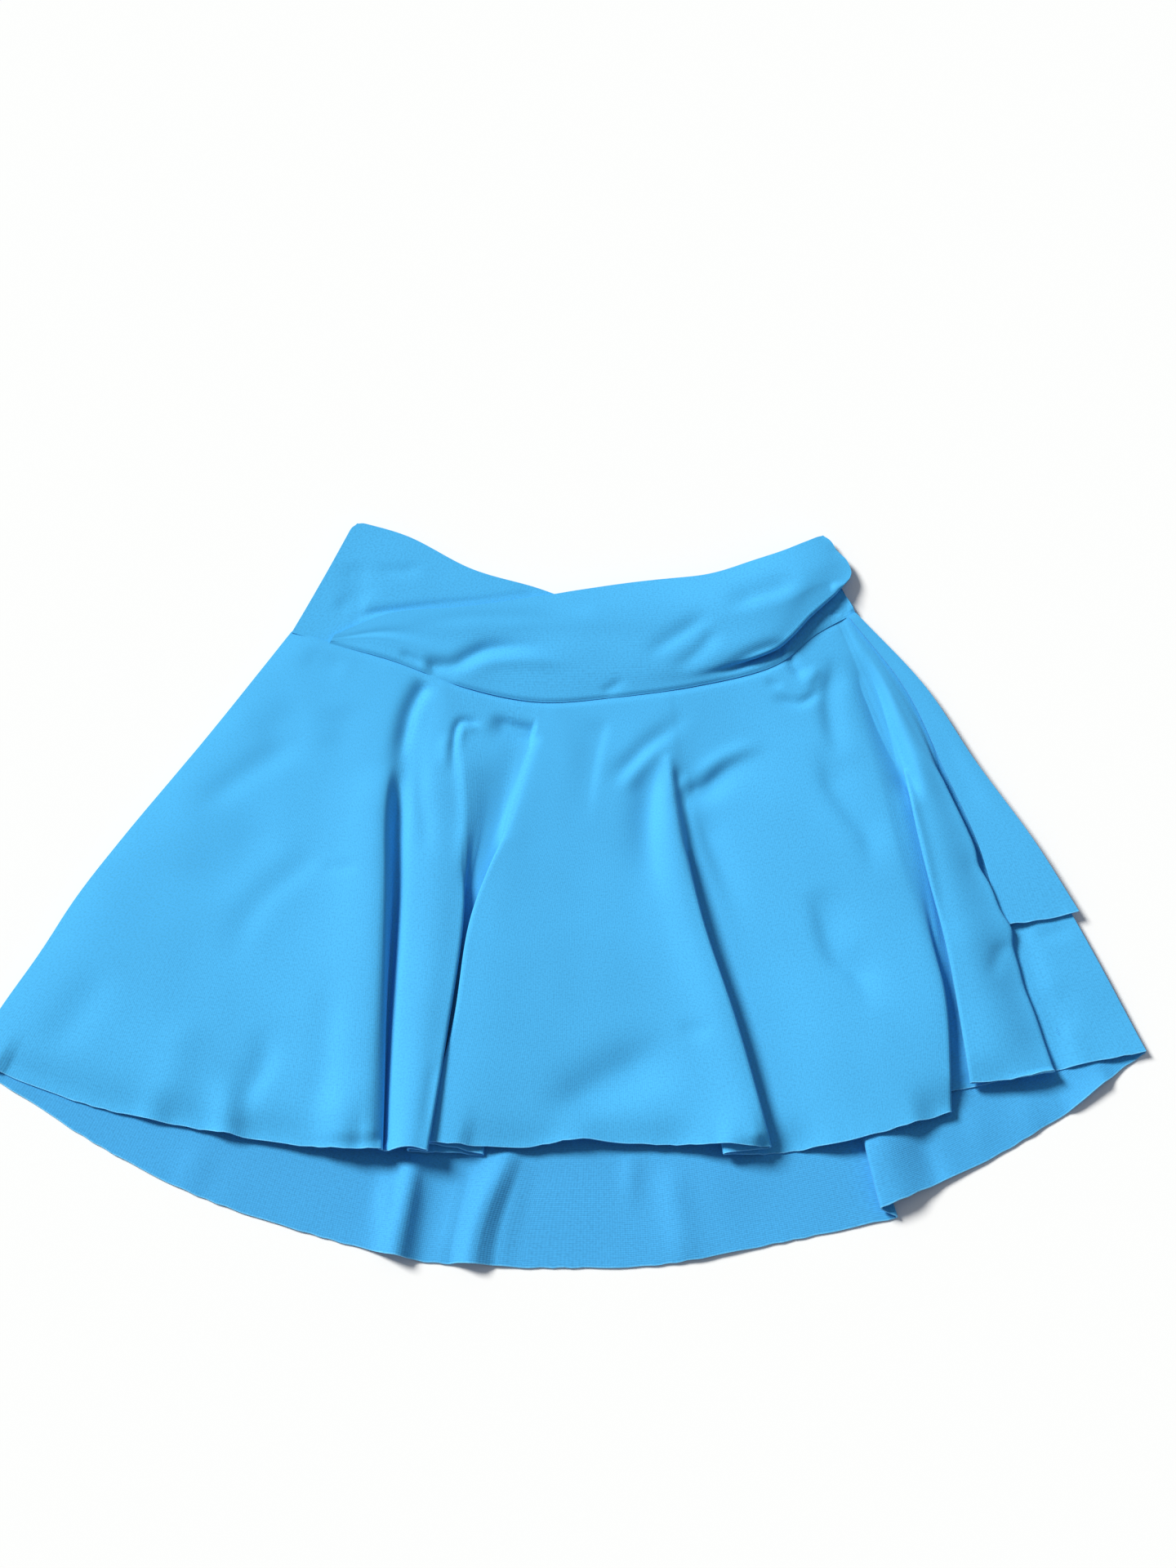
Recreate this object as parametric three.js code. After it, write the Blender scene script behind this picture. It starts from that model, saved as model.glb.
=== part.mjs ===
// Flared mini skirt with a wide crossover yoke, laid flat, its front folded into flutes.
// Millimetres. X runs along the hem, Y from the hem up to the waist, Z up from the surface it lies on.
import * as THREE from "three";

// Driving sizes
const KNIT = 1; // wall of the skirt, one layer of dense knit
const YOKE_WALL = 1.6; // wall of the yoke, two stretched layers turned at the waist
const SEAM_GAP = 0.3; // space between sewn pieces
const TURN = 2.6; // how far a folded edge takes to turn over
const OPEN_SLOPE = 1.7; // half the width of the slope where an edge is still open
const HALF_WIDTH = 353; // half the width across the hem tips
const HEM_TIP_LEFT_Y = -110.5; // height of the left hem tip
const HEM_TIP_RIGHT_Y = -106.5; // height of the right hem tip
const REST = KNIT / 2; // middle of the wall where it lies on the surface

// Colour and finish of the cloth
const SKY_BLUE = 0x4eb4f2;
const CLOTH_ROUGHNESS = 0.85;

// The seam between yoke and skirt, from the left side to the right side
const SEAM = [
  [-165, 164], [-143, 157], [-103, 145], [-57, 127], [-12, 117.5],
  [33, 120.5], [84, 128], [132, 141], [160, 163], [184, 177],
];

// Side outlines of the skirt, X at five even steps from seam to hem
const LEFT_SIDE = [-165, -215, -267, -316, -HALF_WIDTH];
const RIGHT_SIDE = [184, 234, 282, 319, HALF_WIDTH];

// Folds of the front, left to right. x: five even steps from seam to hem. hem: Y at the hem.
// z: height at seam, middle and hem. A folded edge also has over: its height after it turns.
const FRONT_FOLDS = [
  { name: "side_left", x: LEFT_SIDE, hem: HEM_TIP_LEFT_Y, z: [2.2, 2.2, 2.2] },
  { name: "left_shoulder", x: [-158, -206, -256, -302, -337], hem: -118, z: [3.6, 6, 7] },
  { name: "left_crest", x: [-142, -183, -220, -255, -282], hem: -140, z: [4.4, 9, 10] },
  { name: "left_trough", x: [-125, -159, -185, -209, -228], hem: -152, z: [4.6, 7, 7.5] },
  { name: "left_wave", x: [-106, -131, -145, -158, -168], hem: -164, z: [4.8, 9, 9.5] },
  { name: "left_roll", x: [-92, -110, -114, -118, -121], hem: -170, z: [5, 13, 14.5] },
  { name: "left_edge", x: [-83, -102, -102, -103, -104], hem: -169, z: [5, 12, 13.5], over: [4.8, 7, 8.5] },
  { name: "left_valley", x: [-77, -98, -100, -104, -107], hem: -167, z: [4.6, 3.4, 5.5] },
  { name: "flute_side", x: [-73, -91, -94, -99, -101], hem: -170, z: [4.6, 4.4, 6.5], over: [5, 10, 13] },
  { name: "flute_crest", x: [-70, -75, -75, -82, -90], hem: -169, z: [5.2, 13, 18.2] },
  { name: "flute_edge", x: [-66, -58, -57, -66, -77], hem: -171, z: [5.2, 11.5, 17], over: [5, 8, 14] },
  { name: "flute_tuck", x: [-60, -47, -60, -73, -89], hem: -169, z: [5, 6.6, 11.5], over: [4.8, 3.6, 4.5] },
  { name: "middle_tuck", x: [-55, -42, -40, -41, -44], hem: -170, z: [4.8, 3.6, 4.5], over: [5, 6.4, 7.4] },
  { name: "middle_left_edge", x: [-47, -29, -52, -63, -82], hem: -164, z: [5, 8.4, 7.8], over: [5.2, 11.4, 10.6] },
  { name: "middle_left", x: [-39, -18, -35, -43, -61], hem: -166, z: [5.3, 11.8, 11] },
  { name: "middle_a", x: [-8, 7, -3, -3, -9], hem: -166, z: [5.4, 10, 9] },
  { name: "middle_b", x: [14, 27, 24, 31, 33], hem: -164, z: [5.4, 9, 9] },
  { name: "middle_c", x: [42, 52, 58, 74, 85], hem: -166, z: [5.4, 9, 10] },
  { name: "middle_roll", x: [58, 64, 75, 96, 114], hem: -168, z: [5.4, 13, 14] },
  { name: "middle_edge", x: [66, 73, 86, 108, 127], hem: -167, z: [5.4, 12.5, 13.5], over: [5.2, 9, 9.5] },
  { name: "right_tuck", x: [72, 80, 75, 86, 99], hem: -172, z: [5.2, 6.9, 7.2], over: [5, 4, 4.4] },
  { name: "right_a", x: [94, 98, 110, 124, 135], hem: -169, z: [5, 4.6, 4.8] },
  { name: "right_b", x: [124, 133, 147, 159, 170], hem: -164, z: [5, 9, 9] },
  { name: "right_bend", x: [137, 151, 167, 180, 188], hem: -160, z: [4.8, 10, 10] },
  { name: "right_c", x: [150, 168, 187, 200, 205], hem: -155, z: [4.4, 11, 11] },
  { name: "right_edge", x: [168, 193, 211, 232, 235], hem: -145, z: [3.6, 8.4, 10.8], over: [3.4, 6, 8.2] },
  { name: "right_under", x: [171, 197.5, 218, 226, 222], hem: -137, z: [3.2, 5.6, 6.6], over: [3.2, 3.2, 3.6] },
  { name: "fourth_tuck", x: [173.5, 201.5, 230, 254, 270], hem: -129, z: [3, 3.2, 3.6], over: [3, 6.2, 6.6] },
  { name: "fourth_left_edge", x: [176, 206, 219, 236, 247], hem: -127, z: [3, 8.2, 7.6], over: [3.2, 12.4, 11] },
  { name: "fourth_crest", x: [178, 212, 233, 253, 271], hem: -126, z: [3.2, 14.5, 12.5] },
  { name: "fourth_right_edge", x: [180, 218, 251, 276, 297], hem: -120, z: [3, 11.5, 10.5], over: [3, 8, 7.2] },
  { name: "fourth_under", x: [181.5, 223, 240, 261, 278], hem: -122, z: [3, 7.2, 6.6], over: [3, 3.2, 3.6] },
  { name: "lower", x: [182.7, 228.5, 262, 294, 321], hem: -113, z: [2.8, 3, 5] },
  { name: "side_right", x: RIGHT_SIDE, hem: HEM_TIP_RIGHT_Y, z: [2.2, 2.2, 2.2] },
];

// Hem of the back, left to right. rise: how high a ridge stands at the hem.
// A folded edge also has over, its height after it turns, and plain, its X were it not folded.
const BACK_HEM = [
  { x: -336, y: -124.7, rise: 0 }, { x: -318, y: -134.4, rise: 0 }, { x: -296, y: -150.1, rise: 0 },
  { x: -265, y: -169.3, rise: 0 }, { x: -223, y: -191.4, rise: 0 }, { x: -185, y: -206.4, rise: 0 },
  { x: -136, y: -221.4, rise: 0 }, { x: -106, y: -229.5, rise: 0 }, { x: -95, y: -233, rise: 9 },
  { x: -84, y: -234.6, rise: 0 }, { x: -63, y: -236.4, rise: 0 }, { x: -53, y: -237.4, rise: 7 },
  { x: -44, y: -237.4, rise: 1 }, { x: -34, y: -238.8, rise: 7 }, { x: -24, y: -238.6, rise: 0 },
  { x: 19, y: -238.9, rise: 0 }, { x: 54, y: -238.4, rise: 0 }, { x: 90, y: -232.8, rise: 1.5 },
  { x: 121, y: -225.8, rise: 0 }, { x: 157, y: -218.4, rise: 0 }, { x: 190, y: -210.6, rise: 0 },
  { x: 211, y: -205, plain: 198, rise: 0, over: 3.6 },
  { x: 201, y: -203, plain: 205, rise: 3.6, over: 8 },
  { x: 213, y: -197, rise: 9.5 },
  { x: 234, y: -184.5, rise: 3 },
  { x: 265, y: -168.8, rise: 0 }, { x: 289, y: -153.6, rise: 0 }, { x: 312, y: -139, rise: 0 },
  { x: 328, y: -126, rise: 1 }, { x: 341, y: -114, rise: 0 },
];
const RIDGE_START = 0.76; // where the back's ridges begin, from seam to hem
const RIDGE_FULL = 0.95; // where they reach their full height
const TUCK_START = 0.85; // where the back's one fold begins to turn under

// Lines of the yoke's over piece from its crossover edge down to the seam, left to right.
const OVER_TOP = {
  at: [
    [-138.5, 162.2], [-103, 176], [-58, 180], [-12, 187], [33, 194],
    [84, 201], [130, 213], [153, 223], [165, 230],
  ],
  z: [5.2, 6.4, 6.6, 9, 3.2],
};
const OVER_LINES = [
  {
    name: "upper", z: [5.2, 6.8, 8.2, 12.5, 4.6],
    at: [
      [-139, 161.3], [-102, 171.5], [-57, 173], [-12, 178], [34, 182],
      [86, 188], [134, 198], [162, 210], [177, 217],
    ],
  },
  {
    name: "middle", z: [5.2, 6.8, 8.6, 15, 6.2],
    at: [
      [-139.4, 160.5], [-102, 167], [-56, 166], [-12, 170], [35, 170],
      [87, 173], [134, 181], [160, 195], [182, 204],
    ],
  },
  {
    name: "trough", z: [5.2, 5.2, 7.8, 14, 7.4],
    at: [
      [-139.8, 159.8], [-101.6, 162.8], [-58, 151], [-22, 160], [36, 159],
      [90, 160], [132, 170], [156, 186], [181, 199],
    ],
  },
  {
    name: "ridge", z: [5.2, 7.8, 8.2, 13.5, 8.2],
    at: [
      [-140.2, 159.1], [-101.4, 158.8], [-55, 142.5], [-14, 149], [36, 146],
      [92, 148], [130, 159], [154, 180], [178, 195],
    ],
  },
  {
    name: "roll", z: [5.2, 7.2, 7.6, 12.5, 8.4], over: [5.2, 6.8, 7.2, 9, 5.8],
    at: [
      [-140.5, 158.4], [-101.2, 155.2], [-56, 136], [-13, 135.4], [37, 136],
      [94, 139], [134, 151], [157, 174], [175, 192],
    ],
  },
  {
    name: "tuck", z: [5.2, 6.4, 6.8, 8.2, 5.6], over: [5.2, 6, 6.2, 5.2, 3],
    at: [
      [-140.9, 157.8], [-101.6, 151.6], [-56, 133], [-13, 129], [37, 130],
      [91, 136], [131, 155], [152, 181], [170, 197],
    ],
  },
  {
    name: "strip", z: [5.2, 5.8, 5.8, 5.2, 3],
    at: [
      [-141.2, 157.1], [-102.2, 148.4], [-56.5, 130], [-12.5, 122], [35, 124.6],
      [88, 132], [132, 147], [160, 168], [181, 185],
    ],
  },
];
const OVER_SEAM_Z = [5.2, 5.4, 5.4, 5, 3];
const OVER_SEAM_START = -141.6; // X where the over piece ends at its narrow side

// The yoke's under piece: its waist line and the line midway to the seam
const UNDER_LINES = [
  { at: [[-127, 239], [-93, 228], [-54, 206.5], [-14, 194], [16, 182]], z: [3, 3, 3, 3, 3] },
  { at: [[-146, 199], [-108, 186], [-70, 168], [-31, 155], [8, 147]], z: [3, 4.6, 3.2, 3, 3] },
];
const UNDER_SEAM_Z = [3, 3.1, 3, 3, 3];
const UNDER_SEAM_END = 3; // X where the under piece ends, hidden

// The back of the yoke, hidden: its waist line and its seam
const BACK_YOKE_TOP = [[-125.5, 237.5], [-63, 207], [8, 181], [89, 196], [161, 226]];
const BACK_SEAM = [[-165, 164], [-92, 137.6], [3, 112.6], [99, 127.6], [184, 177]];

// The short layer at the right side: its lines from left to right, seam to hem
const SHORT_LAYER = [
  { at: [[179.5, 174.9], [214, 126], [236, 74], [256, 24], [268.5, -27]], z: [4.9, 5.1, 5.2, 5.2, 5.2] },
  { at: [[181, 175.7], [218, 127], [246, 76], [273, 26], [289, -25]], z: [4.9, 5.4, 6, 6, 5.6] },
  { at: [[182.5, 176.3], [222, 127.5], [252, 77], [282, 27], [304, -21.5]], z: [4.9, 5.2, 5.6, 5.4, 5.2] },
  { at: [[184, 176.7], [225.5, 128], [256, 77.5], [289, 28], [315.5, -18.5]], z: [4.6, 4.3, 4.3, 4.3, 4.3] },
];

// Value of a list of evenly spaced numbers at t from 0 to 1, on a smooth curve through them.
function along(values, t) {
  const last = values.length - 1;
  const place = Math.min(Math.max(t, 0), 1) * last;
  const i = Math.min(Math.floor(place), last - 1);
  const f = place - i;
  const before = values[Math.max(i - 1, 0)];
  const after = values[Math.min(i + 2, last)];
  const slopeIn = (values[i + 1] - before) / (i > 0 ? 2 : 1);
  const slopeOut = (after - values[i]) / (i + 2 <= last ? 2 : 1);
  const f2 = f * f;
  const f3 = f2 * f;
  return (
    (2 * f3 - 3 * f2 + 1) * values[i] +
    (f3 - 2 * f2 + f) * slopeIn +
    (3 * f2 - 2 * f3) * values[i + 1] +
    (f3 - f2) * slopeOut
  );
}

function smoothStep(from, to, value) {
  const f = Math.min(Math.max((value - from) / (to - from), 0), 1);
  return f * f * (3 - 2 * f);
}

// Where along a table of points a given X lies, from 0 to 1.
function placeOf(table, x) {
  const xs = table.map((p) => p[0]);
  let low = 0;
  let high = 1;
  for (let step = 0; step < 40; step++) {
    const mid = (low + high) / 2;
    if (along(xs, mid) < x) low = mid;
    else high = mid;
  }
  return (low + high) / 2;
}

// Y at a given X on the smooth curve through a table of points.
function heightOn(table, x) {
  return along(table.map((p) => p[1]), placeOf(table, x));
}

// The part of a table's smooth curve between two of its places, as a line of cloth.
function curveLine(table, from, to, heights) {
  const xs = table.map((p) => p[0]);
  const ys = table.map((p) => p[1]);
  const place = (t) => from + (to - from) * t;
  return line((t) => along(xs, place(t)), (t) => along(ys, place(t)), (t) => along(heights, t), null);
}

// A line of cloth is a function of t that gives its point, and its height once folded over.
function line(xAt, yAt, zAt, overAt) {
  return (t) => ({
    x: xAt(t),
    y: yAt(t),
    z: zAt(t),
    over: overAt ? overAt(t) : null,
  });
}

function lineFromTable(row) {
  const xs = row.at.map((p) => p[0]);
  const ys = row.at.map((p) => p[1]);
  return line(
    (t) => along(xs, t),
    (t) => along(ys, t),
    (t) => along(row.z, t),
    row.over ? (t) => along(row.over, t) : null,
  );
}

// The guide points that pull one section of cloth into shape, with four at each folded edge.
function guidePoints(lines, t) {
  const places = lines.map((at) => at(t));
  const guides = [];
  places.forEach((p, i) => {
    if (p.over === null) {
      guides.push(new THREE.Vector3(p.x, p.y, p.z));
      return;
    }
    const open = openness(places[i - 1], p, places[i + 1]);
    const slope = OPEN_SLOPE * open;
    const ease = ((p.z - p.over) * open) / 3;
    guides.push(towards(p, places[i - 1], p.z, TURN, 0.36));
    guides.push(towards(p, places[i - 1], p.z - ease, slope, 0.2));
    guides.push(towards(p, places[i + 1], p.over + ease, slope, 0.2));
    guides.push(towards(p, places[i + 1], p.over, TURN, 0.36));
  });
  return guides;
}

// A point at the given height, a short way from one place towards another.
function towards(from, to, height, distance, most) {
  const dx = to.x - from.x;
  const dy = to.y - from.y;
  const share = Math.min(distance / Math.max(Math.hypot(dx, dy), distance, 1e-6), most);
  return new THREE.Vector3(from.x + dx * share, from.y + dy * share, height);
}

// How far an edge lies open: 1 where the cloth runs on past it, 0 where it turns back under.
function openness(before, edge, after) {
  const x = edge.x - before.x;
  const y = edge.y - before.y;
  const onward = (x * (after.x - edge.x) + y * (after.y - edge.y)) / Math.max(Math.hypot(x, y), 1e-6);
  return smoothStep(-TURN, TURN, onward);
}

// Point of a section at u from 0 to 1, on a smooth curve that its guide points pull.
function sectionPoint(guides, u) {
  const spans = guides.length - 2;
  const place = Math.min(Math.max(u, 0), 1) * spans;
  const i = Math.min(Math.floor(place), spans - 1);
  const f = place - i;
  const start = guides[i].clone();
  if (i > 0) start.lerp(guides[i + 1], 0.5);
  const end = guides[i + 2].clone();
  if (i < spans - 1) end.lerp(guides[i + 1], 0.5);
  return start
    .multiplyScalar((1 - f) * (1 - f))
    .addScaledVector(guides[i + 1], 2 * f * (1 - f))
    .addScaledVector(end, f * f);
}

// A sheet of cloth through its lines: u crosses the lines and v runs along them.
// Where seamTable is given, the sheet starts just below the curve through it.
function clothSheet(lines, seamTable = null) {
  const sections = new Map();
  const shifts = new Map();
  const place = (u, v) => {
    if (!sections.has(v)) sections.set(v, guidePoints(lines, v));
    return sectionPoint(sections.get(v), u);
  };
  const shift = (u) => {
    if (!shifts.has(u)) {
      const start = place(u, 0);
      shifts.set(u, heightOn(seamTable, start.x) - SEAM_GAP - start.y);
    }
    return shifts.get(u);
  };
  return (u, v) => {
    const point = place(u, v);
    if (seamTable) point.y += shift(u) * (1 - v);
    return point;
  };
}

// A closed wall of even thickness on both sides of a sheet, never lower than the surface.
// Its sewn edges stand upright, so that it stays clear of the piece it is sewn to.
function wallGeometry(sheet, across, down, thickness, sewnAt) {
  const stepU = 0.5 / across;
  const stepV = 0.5 / down;
  const upper = [];
  const under = [];
  for (let j = 0; j <= down; j++) {
    for (let i = 0; i <= across; i++) {
      const u = i / across;
      const v = j / down;
      const alongU = sheet(Math.min(u + stepU, 1), v).sub(sheet(Math.max(u - stepU, 0), v));
      const alongV = sheet(u, Math.min(v + stepV, 1)).sub(sheet(u, Math.max(v - stepV, 0)));
      const normal = alongV.cross(alongU).normalize();
      if (sewnAt(u, v)) normal.set(0, 0, Math.sign(normal.z));
      const middle = sheet(u, v);
      upper.push(middle.clone().addScaledVector(normal, thickness / 2));
      under.push(middle.clone().addScaledVector(normal, -thickness / 2));
    }
  }
  const points = [...upper, ...under];
  points.forEach((p) => {
    p.z = Math.max(p.z, 0);
  });
  const width = across + 1;
  const offset = upper.length;
  const faces = [];
  const quad = (a, b, c, d) => faces.push(a, b, c, a, c, d);
  for (let j = 0; j < down; j++) {
    for (let i = 0; i < across; i++) {
      const a = j * width + i;
      quad(a, a + width, a + width + 1, a + 1);
      quad(offset + a, offset + a + 1, offset + a + width + 1, offset + a + width);
    }
  }
  for (let i = 0; i < across; i++) {
    const hem = down * width + i;
    quad(i, i + 1, offset + i + 1, offset + i);
    quad(hem + 1, hem, offset + hem, offset + hem + 1);
  }
  for (let j = 0; j < down; j++) {
    const left = j * width;
    const right = left + across;
    quad(left + width, left, offset + left, offset + left + width);
    quad(right, right + width, offset + right + width, offset + right);
  }
  return new THREE.BufferGeometry().setFromPoints(points).setIndex(faces);
}

// Lines of the front panel, each a fold from the seam to the hem.
function frontLines() {
  return FRONT_FOLDS.map((fold) => {
    const top = heightOn(SEAM, fold.x[0]);
    return line(
      (t) => along(fold.x, t),
      (t) => top + (fold.hem - top) * t,
      (t) => along(fold.z, t),
      fold.over ? (t) => along(fold.over, t) : null,
    );
  });
}

// Lines of the back panel: flat under the front, with its ridges and one fold near the hem.
function backLines() {
  const seamWidth = RIGHT_SIDE[0] - LEFT_SIDE[0];
  const side = (xs, hem) => {
    const top = heightOn(BACK_SEAM, xs[0]);
    return line((t) => along(xs, t), (t) => top + (hem - top) * t, () => REST, null);
  };
  const swell = (t) => smoothStep(RIDGE_START, RIDGE_FULL, t);
  const inner = BACK_HEM.map((row) => {
    const plain = row.plain ?? row.x;
    const topX = LEFT_SIDE[0] + (seamWidth * (plain + HALF_WIDTH)) / (2 * HALF_WIDTH);
    const top = heightOn(BACK_SEAM, topX);
    return line(
      (t) => topX + (plain - topX) * t + (row.x - plain) * smoothStep(TUCK_START, 1, t),
      (t) => top + (row.y - top) * t,
      (t) => REST + row.rise * swell(t),
      row.over === undefined ? null : (t) => REST + row.over * swell(t),
    );
  });
  return [side(LEFT_SIDE, HEM_TIP_LEFT_Y), ...inner, side(RIGHT_SIDE, HEM_TIP_RIGHT_Y)];
}

// Lines of the over piece; the last follows the seam just above the skirt.
function overLines() {
  const seam = curveLine(SEAM, placeOf(SEAM, OVER_SEAM_START), 1, OVER_SEAM_Z);
  return [lineFromTable(OVER_TOP), ...OVER_LINES.map(lineFromTable), seam];
}

// Lines of the under piece; the last follows the seam.
function underLines() {
  const seam = curveLine(SEAM, 0, placeOf(SEAM, UNDER_SEAM_END), UNDER_SEAM_Z);
  return [...UNDER_LINES.map(lineFromTable), seam];
}

// Lines of a flat piece: its top, its end and the line midway between them.
function flatLines(top, end, height) {
  const middle = top.map((p, i) => [(p[0] + end[i][0]) / 2, (p[1] + end[i][1]) / 2]);
  return [top, middle, end].map((at) => lineFromTable({ at, z: [height, height] }));
}

const sewnAtStart = (u, v) => v === 0;
const sewnAtLast = (u) => u === 1;

// A named piece of cloth with its own material.
function piece(name, sheet, across, down, thickness, sewnAt) {
  const material = new THREE.MeshStandardMaterial({
    color: SKY_BLUE,
    roughness: CLOTH_ROUGHNESS,
    metalness: 0,
    side: THREE.DoubleSide,
  });
  const mesh = new THREE.Mesh(wallGeometry(sheet, across, down, thickness, sewnAt), material);
  mesh.name = name;
  return mesh;
}

const backYokeSheet = clothSheet(flatLines(BACK_YOKE_TOP, BACK_SEAM, YOKE_WALL / 2));

const group = new THREE.Group();
group.add(
  piece("skirt_back", clothSheet(backLines(), BACK_SEAM), 72, 12, KNIT, sewnAtStart),
  piece("skirt_front", clothSheet(frontLines(), SEAM), 130, 14, KNIT, sewnAtStart),
  piece("side_short_layer", clothSheet(SHORT_LAYER.map(lineFromTable)), 6, 10, KNIT, sewnAtStart),
  piece("yoke_back", backYokeSheet, 2, 14, YOKE_WALL, sewnAtLast),
  piece("yoke_front_under", clothSheet(underLines()), 4, 12, YOKE_WALL, sewnAtLast),
  piece("yoke_front_over", clothSheet(overLines()), 26, 30, YOKE_WALL, sewnAtLast),
);

export default group;
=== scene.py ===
"""A sky-blue flared skirt with a crossover yoke, laid flat: thin knit on the forms of its solids.

Tables are in millimetres, as the skirt was measured; meshes are in metres. X runs along the hem,
Y from the hem up to the waist, Z up from the surface. Each piece is a sheet through listed lines
of cloth, with creases, pulls and eased patches placed on it, and a wall of its own thickness.
"""

import sys
import logging
import math
from dataclasses import dataclass, field
from enum import Enum

import bmesh
import bpy
import numpy as np
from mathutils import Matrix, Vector


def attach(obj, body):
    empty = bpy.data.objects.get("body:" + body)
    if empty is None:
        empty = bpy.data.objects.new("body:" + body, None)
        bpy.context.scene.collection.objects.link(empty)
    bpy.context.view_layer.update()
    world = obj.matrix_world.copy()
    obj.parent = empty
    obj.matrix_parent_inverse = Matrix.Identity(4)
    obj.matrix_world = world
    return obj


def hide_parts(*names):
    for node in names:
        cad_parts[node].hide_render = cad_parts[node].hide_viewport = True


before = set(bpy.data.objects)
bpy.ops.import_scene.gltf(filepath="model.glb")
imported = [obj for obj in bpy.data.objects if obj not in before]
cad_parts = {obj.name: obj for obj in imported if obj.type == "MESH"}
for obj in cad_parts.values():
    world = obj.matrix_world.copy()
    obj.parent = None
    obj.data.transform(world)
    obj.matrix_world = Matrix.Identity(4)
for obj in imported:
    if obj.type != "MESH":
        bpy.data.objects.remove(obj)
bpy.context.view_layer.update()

log = logging.getLogger("skirt")

MM = 0.001
SEAM_STEPS = 4000
WIDTH_STEPS = 6000
BACK_LINE_STEPS = 80
SEAM_LINE_STEPS = 60
CREASE_STEPS = 27
CREASE_REACH = 2.6
Table = tuple[tuple[float, float], ...]
Row = tuple[float, ...]
Colour = tuple[float, float, float]
Tree = bpy.types.NodeTree
Node = bpy.types.Node
Socket = bpy.types.NodeSocket


class Side(Enum):
    """Which face of the knit is up."""

    RIGHT = "right side"
    WRONG = "wrong side"


class Held(Enum):
    """How a sheet of cloth lies."""

    LAID = "laid"
    FOLDED = "folded"


class Ending(Enum):
    """How a piece of cloth ends below."""

    RAW_HEM = "raw hem"
    SEWN = "sewn into the seam"


def along(values: np.ndarray | Row, t: np.ndarray) -> np.ndarray:
    """Values of a list of evenly spaced numbers on a smooth curve through them.

    Args:
        values: The numbers, evenly spaced from 0 to 1.
        t: Where to read them, from 0 to 1.

    Returns:
        One value for each t.
    """
    row = np.asarray(values, float)
    last = len(row) - 1
    place = np.clip(t, 0, 1) * last
    i = np.minimum(place.astype(int), last - 1)
    f = place - i
    before = row[np.maximum(i - 1, 0)]
    after = row[np.minimum(i + 2, last)]
    slope_in = (row[i + 1] - before) / np.where(i > 0, 2, 1)
    slope_out = (after - row[i]) / np.where(i + 2 <= last, 2, 1)
    f2, f3 = f * f, f * f * f
    return (
        (2 * f3 - 3 * f2 + 1) * row[i]
        + (f3 - 2 * f2 + f) * slope_in
        + (3 * f2 - 2 * f3) * row[i + 1]
        + (f3 - f2) * slope_out
    )


def smooth_step(start: float, end: float, value: np.ndarray) -> np.ndarray:
    """Rises softly from 0 at start to 1 at end.

    Args:
        start: Value where the rise begins.
        end: Value where it is complete.
        value: The values to read.

    Returns:
        One share from 0 to 1 for each value.
    """
    f = np.clip((value - start) / (end - start), 0, 1)
    return f * f * (3 - 2 * f)


def bell(distance: np.ndarray, width: float | np.ndarray) -> np.ndarray:
    """A soft bump: 1 at no distance and nearly 0 at twice the width."""
    return np.exp(-((distance / width) ** 2))


@dataclass(frozen=True)
class Curve:
    """A smooth curve through evenly placed points of a table, x then y in millimetres."""

    points: Table

    def at(self, place: np.ndarray) -> tuple[np.ndarray, np.ndarray]:
        """Points of the curve.

        Args:
            place: Where along it, from 0 to 1.

        Returns:
            X and Y of each place.
        """
        table = np.asarray(self.points, float)
        return along(table[:, 0], place), along(table[:, 1], place)

    def place_of(self, x: float | np.ndarray) -> np.ndarray:
        """Where along the curve, from 0 to 1, each x lies."""
        fine = np.linspace(0, 1, SEAM_STEPS + 1)
        return np.interp(x, self.at(fine)[0], fine)

    def height_on(self, x: float | np.ndarray) -> np.ndarray:
        """Y of the curve at each x."""
        return self.at(self.place_of(x))[1]


SEAM = Curve(
    (
        (-165, 164), (-143, 157), (-103, 145), (-57, 127), (-12, 117.5),
        (33, 120.5), (84, 128), (132, 141), (160, 163), (184, 177),
    )
)
BACK_SEAM = Curve(((-165, 164), (-92, 137.6), (3, 112.6), (99, 127.6), (184, 177)))
HEM_TIP_LEFT = -110.5
HEM_TIP_RIGHT = -106.5
LEFT_SIDE = (-165, -215, -267, -316, -353)
RIGHT_SIDE = (184, 234, 282, 319, 353)


@dataclass(frozen=True)
class Line:
    """A line of cloth that the sheet passes: x, y and z at even steps, and its height once turned."""

    x: Row
    y: Row
    z: Row
    over: Row | None = None

    def at(self, t: np.ndarray) -> np.ndarray:
        """Points of the line.

        Args:
            t: Where along it, from 0 to 1.

        Returns:
            An array with a row for each t: x, y, z and the turned height.
        """
        turned = self.z if self.over is None else self.over
        return np.stack([along(row, t) for row in (self.x, self.y, self.z, turned)], axis=1)


def line_of(at: Table, z: Row, over: Row | None = None) -> Line:
    """A line of cloth from a table of points.

    Args:
        at: Its points, x then y.
        z: Its heights at even steps.
        over: Its heights once turned, on a folded edge.

    Returns:
        The line.
    """
    return Line(tuple(p[0] for p in at), tuple(p[1] for p in at), z, over)


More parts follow.
